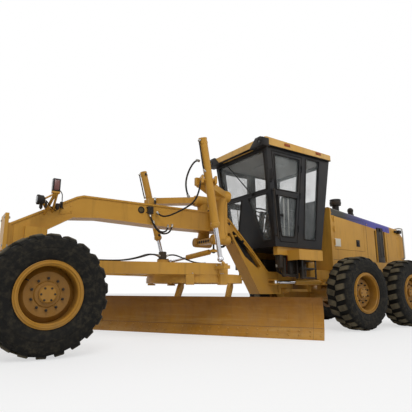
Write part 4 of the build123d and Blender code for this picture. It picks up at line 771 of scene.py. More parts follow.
def liftPoint(share, side, back=0, out=0):
    b, y, z = (a + (c - a) * share for a, c in zip(liftSize["foot"], liftSize["head"]))
    return (b + back, side * (y + out), z)


def makeLiftParts(side):
    word = sideWord(side)
    body = f"lift_barrel_{word}"
    foot, head = liftPoint(liftSize["barrel"], side), liftPoint(1, side)
    collars, gland, bolts, ports = Shape(), Shape(), Shape(), Shape()
    gland.turn(liftSize["gland"], foot, head, 40)
    gland.done(f"liftGland_{word}", yellow, body)
    for outline in liftSize["collars"]:
        collars.turn(outline, foot, head, 40)
    collars.done(f"liftCollars_{word}", yellow, body)
    b, y, z = liftPoint(liftSize["barrel"] + 0.012, side)
    for n in range(liftSize["bolts"]):
        angle = math.tau * n / liftSize["bolts"]
        b1, y1 = b + liftSize["boltCircle"] * math.cos(angle), y + liftSize["boltCircle"] * math.sin(angle)
        bolts.bolt((b1, y1, z - 22), (b1 + 12, y1, z - 72), 6, 7)
    bolts.done(f"liftGlandBolts_{word}", steel, body)
    size = liftSize["portSize"]
    for share in liftSize["ports"]:
        b, y, z = liftPoint(share, side)
        ports.box((b - size, b + size), (y - side * 50, y - side * 92), (z - 20, z + 20), 4)
    ports.done(f"liftPorts_{word}", blackSteel, body)
    pipe = [liftPoint(share, side, back, out) for share, back, out in liftSize["pipe"]]
    makeHoses(f"liftPipe_{word}", 11, [pipe], body)


makeLiftParts(1)
makeLiftParts(-1)


# Saddle: rounded castings about its posts, caps with bolts, the link bar's bushes, and hoses
saddleSize = {
    "across": 280, "ends": (2712, 3062), "caps": ((3053, 60), (2720, -60)),
    # height of each boss, with its cap's and its casting's radius
    "bosses": ((2278, 72, 104), (1520, 60, 84)),
    "post": [(92, 0), (96, 60), (74, 150), (70, 380), (76, 560), (100, 680), (104, 758)],
    "postPlace": (2890, 292),
    "bushes": (-210, -140, -70, 0, 70, 140), "bushPlace": (2735, 1510),
    "bush": [(21, 0), (25, 1), (25, 5), (14, 5), (14, 0)], "bushEnd": [(0, 1.5), (14, 1.5)],
    "hoses": [
        [(2010, 980, 2560), (1950, 990, 2560), (1850, 990, 2420), (1800, 960, 2240), (1830, 930, 2080),
         (1900, 880, 2020)],
        [(2140, 880, 2380), (2080, 930, 2300), (2040, 940, 2100), (1990, 880, 1940), (1900, 640, 1850),
         (1830, 360, 1800), (1790, 200, 1830), (1740, 182, 1890)],
        [(2120, -690, 2330), (2090, -640, 2180), (2080, -520, 1990), (2140, -330, 1880), (2260, -200, 1850),
         (2380, -138, 1850)],
        [(2150, -720, 2330), (2120, -700, 2150), (2110, -560, 1940), (2170, -350, 1820), (2300, -190, 1790),
         (2430, -138, 1790)],
        [(1700, 138, 1740), (1720, 190, 1640), (1800, 210, 1570), (1930, 190, 1600), (1960, 138, 1700)],
        [(1640, 138, 1850), (1660, 196, 1720), (1730, 225, 1590), (1850, 210, 1540), (2000, 180, 1600),
         (2040, 138, 1720)],
    ],
    "footHoses": [
        [(2870, 226, 1480), (2900, 232, 1430), (2960, 226, 1410), (3040, 200, 1460), (3060, 170, 1560),
         (3040, 152, 1650)],
        [(2820, 240, 1470), (2850, 246, 1420), (2930, 240, 1395), (3040, 210, 1430), (3090, 175, 1530),
         (3090, 152, 1630)],
    ],
}


def makeCap(caps, back, way, across, height, radius):
    outline = [(0, 9), (radius * 0.55, 9), (radius * 0.6, 4), (radius * 0.86, 3), (radius * 0.9, 0)]
    caps.turn(outline, (back, across, height), (back + way, across, height), 32)
    for n in range(4):
        angle = math.tau * (n + 0.5) / 4
        y, z = across + 0.72 * radius * math.cos(angle), height + 0.72 * radius * math.sin(angle)
        caps.bolt((back, y, z), (back + way, y, z), 7, 7)


def makeSaddle():
    caps, castings, bushes = Shape(), Shape(), Shape()
    front, rear = saddleSize["ends"]
    length = rear - front
    for side in (1, -1):
        across = side * saddleSize["across"]
        for height, radius, reach in saddleSize["bosses"]:
            for back, way in saddleSize["caps"]:
                makeCap(caps, back, way, across, height, radius)
            castings.turn([(reach - 24, 0), (reach - 6, 8), (reach, 30), (reach, length - 30),
                           (reach - 6, length - 8),
                           (reach - 24, length)], (front, across, height), (rear, across, height), 36)
        back, across = saddleSize["postPlace"]
        high, low = (boss[0] for boss in saddleSize["bosses"])
        castings.turn(saddleSize["post"], (back, side * across, low), (back, side * across, high), 36)
    caps.done("saddleCaps", yellow, "front_frame")
    castings.done("saddleCastings", yellow, "front_frame")
    back, height = saddleSize["bushPlace"]
    for y in saddleSize["bushes"]:
        for outline in (saddleSize["bush"], saddleSize["bushEnd"]):
            bushes.turn(outline, (back, y, height), (back - 35, y, height), 24)
    bushes.done("linkBarBushes", blackSteel, "front_frame")
    makeHoses("saddleHoses", 13, saddleSize["hoses"], "front_frame")


# Leg: small strut in the window and hoses below
legSize = {
    "strut": (3240, 3264, -134, 134, 1690, 1860), "lean": 38, "tube": (3330, 134, 1640), "hoses": 4,
    # place, how far it leans aside, and height; each hose is moved across and staggered in height
    "route": [(3060, 10, 1625), (3220, 20, 1580), (3390, 14, 1440), (3560, 6, 1235), (3700, 0, 1100)],
}


def makeLeg():
    strut = Shape()
    b0, b1, y0, y1, z0, z1 = legSize["strut"]
    strut.box((b0, b1), (y0, y1), (z0, z1), 5, (0, legSize["lean"], 0))
    back, half, height = legSize["tube"]
    strut.rod((back, -half, height), (back, half, height), 20, bevel=2)
    strut.done("legStrut", yellow, "front_frame")
    routes = []
    for n in range(legSize["hoses"]):
        y, lift = 60 - 40 * n, 14 * (n % 2)
        middle = [(b, y + aside, z + lift) for b, aside, z in legSize["route"]]
        routes.append([(2960 + 12 * n, y, 1672), *middle, (3800, y, 990)])
    makeHoses("legHoses", 12, routes, "front_frame", ends=False)
    makeHoses("saddleFootHoses", 12, saddleSize["footHoses"], "front_frame")


makeSaddle()
makeLeg()
print("beam, saddle and lift cylinders done")


# Drawbar: bolts of the shoes, the gearbox and the lift balls, the turning motor, and hoses over its front
drawbarSize = {
    "circle": 2550, "shoes": (54, -54, 90, -90), "shoeRadius": 815, "shoeBolts": (-2.6, 0, 2.6), "gear": 1950,
    "gearBolts": 10, "gearCircle": 112, "studBolts": ((2440, 812), (2440, 930), (2500, 812)),
    "motor": [(80, 0), (80, 12), (62, 16), (62, 120), (54, 128), (30, 130), (0, 130)],
    "hoses": [
        [(1890, 20, 1225), (1770, 24, 1260), (1530, 60, 1180), (1230, 130, 1115), (700, 110, 1110),
         (400, 70, 1120),
         (150, 30, 1180)],
        [(1890, -20, 1225), (1750, -24, 1270), (1490, -10, 1170), (1150, 60, 1112), (760, 70, 1112),
         (430, 30, 1130),
         (170, -10, 1190)],
        [(2010, 0, 1225), (2100, 40, 1270), (2280, 160, 1180), (2370, 330, 1112), (2450, 480, 1100)],
    ],
    "clamps": [(1162, 1198, 33, 141, 1092, 1128), (742, 778, 28, 136, 1092, 1128),
               (412, 448, -14, 94, 1092, 1128)],
}


def makeDrawbar():
    heads, motor, clamps = Shape(), Shape(), Shape()
    middle, radius = drawbarSize["circle"], drawbarSize["shoeRadius"]
    for angle in drawbarSize["shoes"]:
        for turn in drawbarSize["shoeBolts"]:
            way = math.radians(angle + turn)
            b, y = middle - radius * math.cos(way), -radius * math.sin(way)
            heads.bolt((b, y, 930), (b, y, 990), 13, 13)
    gear, radius = drawbarSize["gear"], drawbarSize["gearCircle"]
    for n in range(drawbarSize["gearBolts"]):
        way = math.tau * (n + 0.5) / drawbarSize["gearBolts"]
        b, y = gear + radius * math.cos(way), radius * math.sin(way)
        heads.bolt((b, y, 1090), (b, y, 1150), 8, 8)
    for side in (1, -1):
        for b, y in drawbarSize["studBolts"]:
            heads.bolt((b, side * y, 1050), (b, side * y, 1090), 11, 11)
    heads.done("drawbarBolts", steel, "drawbar")
    motor.turn(drawbarSize["motor"], (gear, 0, 1165), (gear, 0, 1300), 32)
    motor.box((gear - 60, gear + 60), (-30, 30), (1185, 1250), 8)
    motor.done("circleMotor", blackSteel, "drawbar")
    makeHoses("drawbarHoses", 12, drawbarSize["hoses"], "drawbar")
    clamps.boxes(drawbarSize["clamps"], 6)
    clamps.done("drawbarClamps", blackSteel, "drawbar")


# Moldboard: bolts and nuts of the cutting edge along its turned face
bladeSize = {
    "angle": 34.75, "circle": 2550, "length": 3974, "shift": 60, "margin": 40, "bolts": 26,
    "head": [(0, 5), (9, 5), (13, 2), (14, 0)],
    # height and lead of each row on the face
    "rows": ((60, 84), (122, 54)),
}


def bladePlace(lead, across, height):
    way = math.radians(bladeSize["angle"])
    ahead = lead * math.cos(way) - across * math.sin(way)
    aside = lead * math.sin(way) + across * math.cos(way)
    return (bladeSize["circle"] - ahead, aside, height)


def makeBlade():
    heads, nuts = Shape(), Shape()
    low = bladeSize["shift"] - bladeSize["length"] / 2 + bladeSize["margin"]
    step = (bladeSize["length"] - 2 * bladeSize["margin"]) / (bladeSize["bolts"] - 1)
    for across in (low + n * step for n in range(bladeSize["bolts"])):
        for height, lead in bladeSize["rows"]:
            face = bladePlace(lead, across, height)
            heads.turn(bladeSize["head"], face, bladePlace(lead + 40, across, height + 12), 14)
        nuts.bolt(bladePlace(58, across, 62), bladePlace(20, across, 50), 12, 16)
    heads.done("edgeBolts", yellow, "moldboard")
    nuts.done("edgeNuts", steel, "moldboard")


makeDrawbar()
makeBlade()
print("drawbar and blade done")


# Cab: seals round the panes, door handles, wiper, mirrors, roof corners and lining
cabSize = {
    "foot": 1440, "head": 3190, "footFront": 3784, "headFront": 3533, "footRear": 4947, "headRear": 5184,
    "footHalf": 665, "headHalf": 770, "roofFront": 3410, "roofRear": 5210, "bead": 13, "corner": 50,
}
panes = {
    # (back, height) corners on the sides, (across, height) corners ahead and behind
    "quarter": [(4480, 1600), (4790, 1600), (4900, 3130), (4530, 3130)],
    "doorEdge": [(3893, 1533), (4300, 1533), (4418, 3118), (3664, 3118)],
    "windshield": [(-640, 2440), (640, 2440), (680, 3130), (-680, 3130)],
    "lowerFront": [(380, 1560), (590, 1560), (630, 2370), (90, 2370)],
    "rear": [(-560, 2420), (560, 2420), (620, 3100), (-620, 3100)],
}


def cabPlace(low, high, height):
    share = (height - cabSize["foot"]) / (cabSize["head"] - cabSize["foot"])
    return cabSize[low] + (cabSize[high] - cabSize[low]) * share


def onSide(side, back, height, out=0):
    return (back, side * (cabPlace("footHalf", "headHalf", height) + out), height)


def onFront(across, height, out=0):
    return (cabPlace("footFront", "headFront", height) - out, across, height)


def onRear(across, height, out=0):
    return (cabPlace("footRear", "headRear", height) + out, across, height)


def rounded(loop, corner):
    # A loop's corners, each with the two places where its rounding starts and ends
    places = []
    for n, place in enumerate(loop):
        before, after = loop[n - 1], loop[(n + 1) % len(loop)]
        places += [between(place, before, corner), place, between(place, after, corner)]
    return places


def makeSeals(name, radius, loops, body, corner=cabSize["corner"]):
    makeBeads(name, radius, [rounded(loop, corner) for loop in loops], blackPlastic, body, 2, 4, True)


def makeCabSeals():
    loops = [[onFront(y, z) for y, z in panes["windshield"]], [onRear(y, z) for y, z in panes["rear"]]]
    for side in (1, -1):
        loops.append([onFront(side * y, z) for y, z in panes["lowerFront"]])
        loops.append([onSide(side, b, z) for b, z in panes["quarter"]])
        body = f"cab_door_{sideWord(side)}"
        doorLoops = [[onSide(side, b, z) for b, z in pane] for pane in doorPanes.values()]
        makeSeals(f"doorSeals_{sideWord(side)}", cabSize["bead"], doorLoops, body)
        edge = [onSide(side, b, z, 1) for b, z in panes["doorEdge"]]
        makeSeals(f"doorEdge_{sideWord(side)}", 6, [edge], body, 30)
    makeSeals("cabSeals", cabSize["bead"], loops, "rear_frame")


doorSize = {
    # (back, height) of the grip's feet and ends, and of the latch
    "feet": ((3866, 1700), (3800, 2330)), "grip": ((3868, 1690), (3797, 2342)), "stand": 32,
    "latch": (3868, 3948, 700, 716, 1958, 2010), "key": (3910, 1985),
    "bars": ((4030, 4000), (4140, 4110)), "barHeights": (1640, 2330), "barDepth": -44,
}


def makeDoorParts(side):
    body = f"cab_door_{sideWord(side)}"
    handle, bars = Shape(), Shape()
    for back, height in doorSize["feet"]:
        handle.rod(onSide(side, back, height, -4), onSide(side, back, height, 34), 12, bevel=2)
    start, end = (onSide(side, b, z, doorSize["stand"]) for b, z in doorSize["grip"])
    handle.rod(start, end, 12, bevel=3)
    b0, b1, y0, y1, z0, z1 = doorSize["latch"]
    handle.box((b0, b1), (side * y0, side * y1), (z0, z1), 5, (-side * 3.4, 0, 0))
    back, height = doorSize["key"]
    handle.rod(onSide(side, back, height, 10), onSide(side, back, height, 34), 14, bevel=2)
    handle.done(f"doorHandle_{sideWord(side)}", blackPlastic, body)
    low, high = doorSize["barHeights"]
    for foot, head in doorSize["bars"]:
        bars.rod(onSide(side, foot, low, doorSize["barDepth"]),
                 onSide(side, head, high, doorSize["barDepth"]), 11,
                 bevel=2)
    bars.done(f"doorBars_{sideWord(side)}", steel, body)


frontSize = {
    "wiperFoot": (250, 2415), "wiperTip": (-290, 3020), "mirror": (3575, 3600, 748, 862, 2560, 2760),
    "mirrorArm": (3668, 735, 2560), "mirrorPost": (3600, 812, 2560, 2540, 2640),
    "grabFoot": (3800, 1560), "grabHead": (3700, 752, 2440), "grabLean": 0.114, "grabOut": 50,
}


def makeCabFront():
    wiper, mirror, grab = Shape(), Shape(), Shape()
    foot = frontSize["wiperFoot"]
    pivot, tip = onFront(*foot, 24), onFront(*frontSize["wiperTip"], 14)
    wiper.rod(onFront(*foot, -6), onFront(*foot, 34), 22, bevel=3)
    wiper.rod(pivot, tip, 12, tip=8, sides=10)
    middle = between(tip, pivot, 40)
    wiper.rod(between(middle, pivot, -260), between(middle, pivot, 300), 11, sides=8)
    wiper.done("wiper", blackPlastic, "rear_frame")
    for side in (1, -1):
        back, across, height = frontSize["mirrorArm"]
        postBack, postAcross, arm, low, high = frontSize["mirrorPost"]
        mirror.rod((back, side * across, height), (postBack, side * postAcross, arm), 10, bevel=2)
        mirror.rod((postBack, side * postAcross, low), (postBack, side * postAcross, high), 10, bevel=2)
        mirror.boxes([frontSize["mirror"]], 10, side)
        back, low = frontSize["grabFoot"]
        headBack, headAcross, headHeight = frontSize["grabHead"]
        grab.rod(onSide(side, back, low, frontSize["grabOut"]), (headBack, side * headAcross, headHeight),
                 13, bevel=3)
        for z in (1620, 2400):
            foot = onSide(side, back - (z - low) * frontSize["grabLean"], z, -6)
            grab.rod(foot, (foot[0], foot[1] + side * (frontSize["grabOut"] + 6), z), 11, bevel=2)
    mirror.done("mirrors", blackPlastic, "rear_frame")
    grab.done("cabGrabRails", blackSteel, "rear_frame")


roofSize = {
    "corner": [(470, 3168), (846, 3150), (846, 3296), (770, 3330), (640, 3330)],
    "ledge": (560, 838, 3160, 3192),
    "lamp": (752, 3236), "glass": [(40, -4), (36, 2), (20, 5), (0, 6)],
    "ring": [(38, 0), (50, 0), (50, 8), (44, 12), (38, 6)], "markers": (3990, 4812), "markerHalf": 70,
    "marker": (826, 843, 3236, 3286), "drip": (790, 822, 3178, 3192), "strip": (-520, 520, 3176, 3192),
    "lining": (3640, 5085, -690, 690, 3128, 3176), "console": (4080, 4500, -240, 240, 3100, 3130),
}


def makeRoofParts():
    black, lens, marker, lining = Shape(), Shape(), Shape(), Shape()
    front, rear = cabSize["roofFront"], cabSize["roofRear"]
    for side in (1, -1):
        # Corner housings with a lamp each, over the front corners of the roof
        black.plate("front", [(side * y, z) for y, z in roofSize["corner"]], (front - 16, front + 130), 8)
        black.boxes([(front - 10, front + 150, *roofSize["ledge"])], 5, side)
        y, z = side * roofSize["lamp"][0], roofSize["lamp"][1]
        lens.turn(roofSize["glass"], (front - 16, y, z), (front - 60, y, z), 28)
        black.turn(roofSize["ring"], (front - 15, y, z), (front - 60, y, z), 28)
        for b in roofSize["markers"]:
            marker.boxes([(b - roofSize["markerHalf"], b + roofSize["markerHalf"], *roofSize["marker"])], 8,
                         side)
        black.boxes([(front + 150, rear - 30, *roofSize["drip"])], 3, side)
    black.boxes([(front + 10, front + 60, *roofSize["strip"])], 3)
    black.done("roofCorners", blackPlastic, "rear_frame")
    lens.done("roofLampLenses", glass, "rear_frame")
    marker.done("roofMarkers", markerPaint, "rear_frame")
    lining.boxes([roofSize["lining"]], 12)
    lining.boxes([roofSize["console"]], 10)
    lining.done("headliner", headliner, "rear_frame")


makeCabSeals()
makeDoorParts(1)
makeDoorParts(-1)
makeCabFront()
makeRoofParts()
print("cab trim done")


# Hood: dark slot with its mesh, latches, blank plate, handrails, work lamps. Places out from its side wall
hoodSize = {
    "half": 525, "front": 5420, "frontTop": 2350, "fall": 270 / 2373,
    # black surround of the wide slot, made of bars over a back plate, and its louvres; the back plate is a
    # dark sheet that stands in for the shade inside the slot
    "bars": [(6930, 6962, -3, 7, 1393, 2050), (7018, 7072, -3, 7, 1393, 2050),
             (7128, 7160, -3, 7, 1393, 2050),
             (6930, 7160, -3, 7, 1965, 2050), (6930, 7160, -3, 7, 1290, 1420)],
    "backPlate": (6950, 7140, 0, 3, 1400, 1980), "louvres": 16, "louvre": (6960, 7130, 0, 6),
    "louvreStep": 33,
    "mesh": (6800, 7290, -46, -36, 1200, 2010),
    "latch": (6196, 6312, 0, 5, 1586, 1726), "cover": (6216, 6292, 4, 16, 1612, 1700), "lock": (6254, 1656),
    "plate": (5512, 5690, 0, 9, 1556, 1712),
    "seams": [(6560, 6566, 0, 1.5, 1320, 2130), (7300, 7306, 0, 1.5, 1120, 2060),
              (5450, 7600, 0, 1.5, 1286, 1292)],
    "bolts": [(5450, 1150), (5450, 1700), (5450, 2230), (6600, 1180), (6600, 2090), (7260, 1180),
              (7380, 1200),
              (7380, 1900), (7700, 1200), (7700, 1860)],
    "rail": [(7830, 520, 1400), (7850, 575, 1400), (7850, 585, 1440), (7850, 585, 1800), (7850, 585, 2060),
             (7848, 575, 2100), (7800, 470, 2110), (7760, 380, 2080)],
    "lampArm": (7600, 7700, 520, 560, 1990, 2036), "lamp": (7690, 7790, 530, 600, 1973, 2051),
    "lens": (7788, 7796, 538, 592, 1981, 2043),
}


def hoodTop(back):
    return hoodSize["frontTop"] - hoodSize["fall"] * (back - hoodSize["front"])


def onHood(*rows):
    # Boxes given out from the hood's side wall, as places across the machine
    half = hoodSize["half"]
    return [(b0, b1, half + y0, half + y1, z0, z1) for b0, b1, y0, y1, z0, z1 in rows]


def makeHoodSide(side):
    word, wall = sideWord(side), side * hoodSize["half"]
    border, mesh, latch, plate, seams, bolts, lamp, lens = (Shape() for n in range(8))
    border.boxes(onHood(*hoodSize["bars"]), 3, side)
    b0, b1, y0, y1 = hoodSize["louvre"]
    for n in range(hoodSize["louvres"]):
        z = 1440 + n * hoodSize["louvreStep"]
        border.boxes(onHood((b0, b1, y0, y1, z, z + 10)), 2, side)
    # The dark back plate stands in for the shade inside the slot: painted shade
    border.boxes(onHood(hoodSize["backPlate"]), 1, side)
    border.done(f"hoodSlotFrame_{word}", blackSteel, "rear_frame")
    mesh.boxes(onHood(hoodSize["mesh"]), 2, side)
    mesh.done(f"hoodMesh_{word}", meshPaint, "rear_frame")
    latch.boxes(onHood(hoodSize["latch"]), 4, side)
    latch.boxes(onHood(hoodSize["cover"]), 5, side)
    back, height = hoodSize["lock"]
    latch.rod((back, wall, height), (back, wall + side * 26, height), 13, bevel=2)
    latch.done(f"hoodLatch_{word}", blackPlastic, f"hood_door_{word}")
    plate.boxes(onHood(hoodSize["plate"]), 3, side)
    plate.done(f"blankPlate_{word}", platePaint, f"hood_door_{word}")
    seams.boxes(onHood(*hoodSize["seams"]), 0, side)
    seams.done(f"hoodSeams_{word}", blackSteel, "rear_frame")
    for b, z in hoodSize["bolts"]:
        bolts.bolt((b, wall, z), (b, wall + side * 50, z), 9, 7)
    bolts.done(f"hoodBolts_{word}", yellow, "rear_frame")
    rail = [(b, side * y, z) for b, y, z in hoodSize["rail"]]
    makeBeads(f"rearHandrail_{word}", 15, [rail], steel, "rear_frame")
    lamp.boxes([hoodSize["lampArm"]], 6, side)
    lamp.boxes([hoodSize["lamp"]], 8, side)
    lamp.done(f"workLamp_{word}", blackPlastic, "rear_frame")
    lens.boxes([hoodSize["lens"]], 2, side)
    lens.done(f"workLampLens_{word}", clearLens, "rear_frame")


topSize = {
    "cleaner": 6274, "exhaust": 6791, "ribs": 24, "ribCircle": 121,
    "cap": [(75, 2575), (118, 2580), (124, 2590), (124, 2640), (116, 2660), (70, 2686), (30, 2694),
            (0, 2694)],
    "ring": [(66, 2380), (72, 2384), (72, 2410), (66, 2414)],
    "filler": [(0, 34), (30, 33), (46, 26), (52, 12), (52, -8)], "fillers": (5640, 7300), "fillerAcross": 260,
    "louvres": 7, "louvresFrom": 7000, "louvreStep": 70, "grille": (7930, 7936, -390, 390, 1300, 1870),
    "lens": [(0, 10), (18, 9), (24, 4), (25, 0)], "lensPlace": (8008, 450), "lensHeights": (1790, 1850),
}


def makeHoodTop():
    caps, filler, louvres, grille, lamp = (Shape() for n in range(5))
    cleaner, exhaust, circle = topSize["cleaner"], topSize["exhaust"], topSize["ribCircle"]
    caps.turn(topSize["cap"], (cleaner, 0, 0), (cleaner, 0, 1000), 48)
    for n in range(topSize["ribs"]):
        way = math.tau * n / topSize["ribs"]
        b, y = cleaner + circle * math.cos(way), circle * math.sin(way)
        caps.box((b - 4, b + 4), (y - 4, y + 4), (2592, 2640), 1)
    caps.rod((cleaner, 0, 2230), (cleaner, 0, 2256), 98, bevel=4)
    caps.rod((exhaust, 0, 2168), (exhaust, 0, 2196), 86, bevel=4)
    caps.turn(topSize["ring"], (exhaust, 0, 0), (exhaust, 0, 1000), 40)
    caps.done("stackCaps", blackSteel, "rear_frame")
    for back in topSize["fillers"]:
        place = (back, topSize["fillerAcross"], hoodTop(back))
        filler.turn(topSize["filler"], place, (place[0], place[1], place[2] + 100), 32)
    filler.done("fillerCaps", blackPlastic, "rear_frame")
    for n in range(topSize["louvres"]):
        back = topSize["louvresFrom"] + topSize["louvreStep"] * n
        louvres.box((back, back + 42), (-300, 300), (hoodTop(back) - 4, hoodTop(back) + 9), 4, (0, -7, 0))
    louvres.done("hoodTopLouvres", hoodPaint, "rear_frame")
    grille.boxes([topSize["grille"]], 1)
    grille.done("rearGrilleMesh", meshPaint, "rear_frame")
    back, half = topSize["lensPlace"]
    for y in (half, -half):
        for z in topSize["lensHeights"]:
            lamp.turn(topSize["lens"], (back, y, z), (back + 42, y, z), 24)
    lamp.done("rearLampLenses", redLens, "rear_frame")


makeHoodSide(1)
makeHoodSide(-1)
makeHoodTop()
print("hood trim done")


# Under the cab: valves, tanks, hoses, the orange cylinder, steps
underSize = {
    "valves": [(4112, 4148, 470, 540, 930, 1400), (4280, 4400, 430, 560, 930, 1330),
               (3990, 4080, 420, 560, 1150, 1420),
               (4420, 4560, 520, 610, 1000, 1230), (3880, 3960, 480, 560, 1290, 1430),
               (3990, 4034, 570, 640, 930, 1240),
               (4120, 4190, 570, 650, 960, 1200), (4300, 4336, 590, 640, 900, 1230),
               (4030, 4310, 600, 636, 930, 972),
               (3900, 3970, 560, 640, 1080, 1300)],
    "ports": 5, "portStep": 24, "battery": (4600, 4800, 520, 640, 1080, 1200),
    "tank": [(0, 0), (52, 4), (60, 14), (60, 330), (52, 344), (0, 350)], "tankPlace": (4470, 620, 900),
    "red": [(0, 0), (30, 2), (36, 8), (36, 300), (30, 308), (20, 312), (20, 420), (0, 420)],
    "redPlace": (4210, 500, 930),
    "stepSides": [(4176, 4204, 858, 880, 880, 1215), (4506, 4534, 858, 880, 880, 1215)],
    "steps": [(4180, 4530, 800, 884, 890, 916), (4180, 4530, 800, 884, 1050, 1076)],
    "hoses": 6, "crossHose": [(4340, 500, 1320), (4400, 560, 1372), (4560, 600, 1372), (4700, 590, 1330)],
}


def valveHose(n, side):
    # Each hose starts a step further across and back, and hangs a little lower or higher
    y, lift = 430 + underSize["portStep"] * n, 16 * (n % 3)
    route = [(4010 + 14 * n, y, 1140), (4000 + 18 * n, y + 4, 1040), (4040 + 14 * n, y + 8, 1000 - lift),
             (4160 + 12 * n, y + 6, 972 - lift), (4260 + 8 * n, y - 4, 990 + lift),
             (4290 + 6 * n, 440 + 18 * n, 1060)]
    return [(b, side * y, z) for b, y, z in route]


def makeUnderCab():
    black, tank, red, battery = Shape(), Shape(), Shape(), Shape()
    routes = []
    for side in (1, -1):
        black.boxes(underSize["valves"], 8, side)
        for n in range(underSize["ports"]):
            y = side * (440 + underSize["portStep"] * n)
            black.rod((4010 + 14 * n, y, 1130), (4010 + 14 * n, y, 1180), 12, bevel=2)
            black.rod((4035, y, 1400), (4035, y, 1452), 8, bevel=1)
        for piece, outline, place in ((tank, "tank", "tankPlace"), (red, "red", "redPlace")):
            b, y, z = underSize[place]
            piece.turn(underSize[outline], (b, side * y, z), (b, side * y, z + 400),
                       32 if piece is tank else 28)
        battery.boxes([underSize["battery"]], 8, side)
        # Boarding steps below the platform
        black.boxes(underSize["stepSides"], 4, side)
        black.boxes(underSize["steps"], 5, side)
        routes += [valveHose(n, side) for n in range(underSize["hoses"])]
        routes.append([(b, side * y, z) for b, y, z in underSize["crossHose"]])
    black.done("valveStack", blackSteel, "rear_frame")
    tank.done("accumulators", blackSteel, "rear_frame")
    red.done("redCylinders", redPaint, "rear_frame")
    battery.done("batteryBoxes", yellow, "rear_frame")
    makeHoses("valveHoses", 12, routes, "rear_frame")


bundleSize = {
    "cover": [(3190, 1800), (3560, 1460), (3720, 1310), (3880, 1110), (3850, 1092), (3540, 1290),
              (3340, 1560)],
    # hoses side by side: place, share of the spread across, height
    "hoses": 10, "spread": 28, "outer": 126,
    "route": [(2900, 1, 2034), (3050, 1, 1960), (3230, 0.96, 1770), (3400, 0.93, 1590), (3560, 0.9, 1460),
              (3760, 0.9, 1330), (3900, 0.9, 1240)],
    "clips": [(2880, 2040, 0), (3180, 1850, 42), (3480, 1556, 42), (3720, 1376, 42)],
}


def makeLegBundle():
    # Hoses and a dark cover in the leg's window and along its top
    cover, clips = Shape(), Shape()
    cover.plate("side", bundleSize["cover"], (-60, 60), 4)
    cover.done("legCover", blackSteel, "front_frame")
    routes = []
    for n in range(bundleSize["hoses"]):
        y, lift = bundleSize["outer"] - bundleSize["spread"] * n, 14 * (n % 2)
        route = [(b, y * share, z + lift) for b, share, z in bundleSize["route"]]
        routes.append([(2760 + 9 * n, y, 2026 + lift), *route])
    makeHoses("legTopHoses", 13, routes, "front_frame", ends=False)
    for b, z, lean in bundleSize["clips"]:
        clips.box((b - 18, b + 18), (-148, 148), (z - 30, z + 16), 5, (0, lean, 0))
    clips.done("legClips", blackSteel, "front_frame")


makeUnderCab()
makeLegBundle()
print("chassis trim done")


# Seat: cushions swollen by a cloth simulation, on a hard base with armrests. Heights in metres where noted
seatSize = {
    "back": 4640, "half": 236, "voxel": 0.006, "pressure": 4.0, "frames": 20, "cap": 0.024, "round": 30,
    "seam": 0.007, "seamWidth": 0.009, "seamMost": 0.009, "channels": (-0.12, 0.12),
    "pedestal": (-190, 10, -110, 110, 1502, 1760), "folds": 7, "pan": (-300, 110, -200, 200, 1878, 1912),
    "shell": [(150, 1950), (236, 2590), (262, 2600), (176, 1930), (60, 1890), (60, 1925)],
    "arm": (-240, 140, 246, 299, 2190, 2230), "armPost": (70, 140, 220, 262, 2150, 2215),
    "lever": (-190, 272),
}
pads = {
    # outline behind the seat's middle and in height; height in metres below which the cloth is held; seams as
    # weights of distance back and of height with their sum
    "seatCushion": {"outline": [(-336, 1912), (-340, 2006), (-316, 2020), (104, 2004), (132, 1990),
                                (136, 1912)],
                    "held": 1.93, "seams": [(1.0, 0.0, 4.42), (1.0, 0.0, 4.62)]},
    "seatBack": {"outline": [(66, 1998), (18, 2084), (60, 2330), (150, 2600), (176, 2632), (232, 2628),
                             (236, 2590),
                             (150, 1998)],
                 "held": 2.02, "seams": [(0.0, 1.0, 2.24), (0.0, 1.0, 2.46)]},
}


def fillPad(piece, floor):
    # Cloth under pressure, with the part that rests on its pan held still
    mesh = piece.data
    held = piece.vertex_groups.new(name="held")
    held.add([v.index for v in mesh.vertices if v.co.z < floor], 1.0, "REPLACE")
    start = [v.co.copy() for v in mesh.vertices]
    cloth = piece.modifiers.new("fill", "CLOTH")
    cloth.settings.use_pressure = True
    cloth.settings.uniform_pressure_force = seatSize["pressure"]
    cloth.settings.effector_weights.gravity = 0
    cloth.settings.vertex_group_mass = "held"
    cloth.settings.quality = 4
    cloth.collision_settings.use_collision = False
    cloth.point_cache.frame_start, cloth.point_cache.frame_end = 1, seatSize["frames"]
    scene = bpy.context.scene
    for n in range(1, seatSize["frames"] + 1):
        scene.frame_set(n)
    swollen = piece.evaluated_get(bpy.context.evaluated_depsgraph_get()).to_mesh()
    ends = [v.co.copy() for v in swollen.vertices]
    piece.evaluated_get(bpy.context.evaluated_depsgraph_get()).to_mesh_clear()
    piece.modifiers.remove(cloth)
    scene.frame_set(1)
    for vert, first, last in zip(mesh.vertices, start, ends):
        way = last - first
        vert.co = first + way * min(1, seatSize["cap"] / max(way.length, 1e-6))


def evenMesh(name, outline):
    # The pad's rounded block in small even faces
    start = Shape()
    half = seatSize["half"] - 12
    start.plate("side", [(seatSize["back"] + b, z) for b, z in outline], (-half, half), seatSize["round"])
    bmesh.ops.recalc_face_normals(start.form, faces=start.form.faces)
    mesh = bpy.data.meshes.new(name)
    start.form.to_mesh(mesh)
    start.form.free()
    rough = bpy.data.objects.new(name + "Start", mesh)
    bpy.context.collection.objects.link(rough)
    voxels = rough.modifiers.new("voxels", "REMESH")
    voxels.mode, voxels.voxel_size = "VOXEL", seatSize["voxel"]
    voxels.use_smooth_shade = True
    even = bpy.data.meshes.new_from_object(rough.evaluated_get(bpy.context.evaluated_depsgraph_get()))
    bpy.data.objects.remove(rough)
    even.name = name
    return even


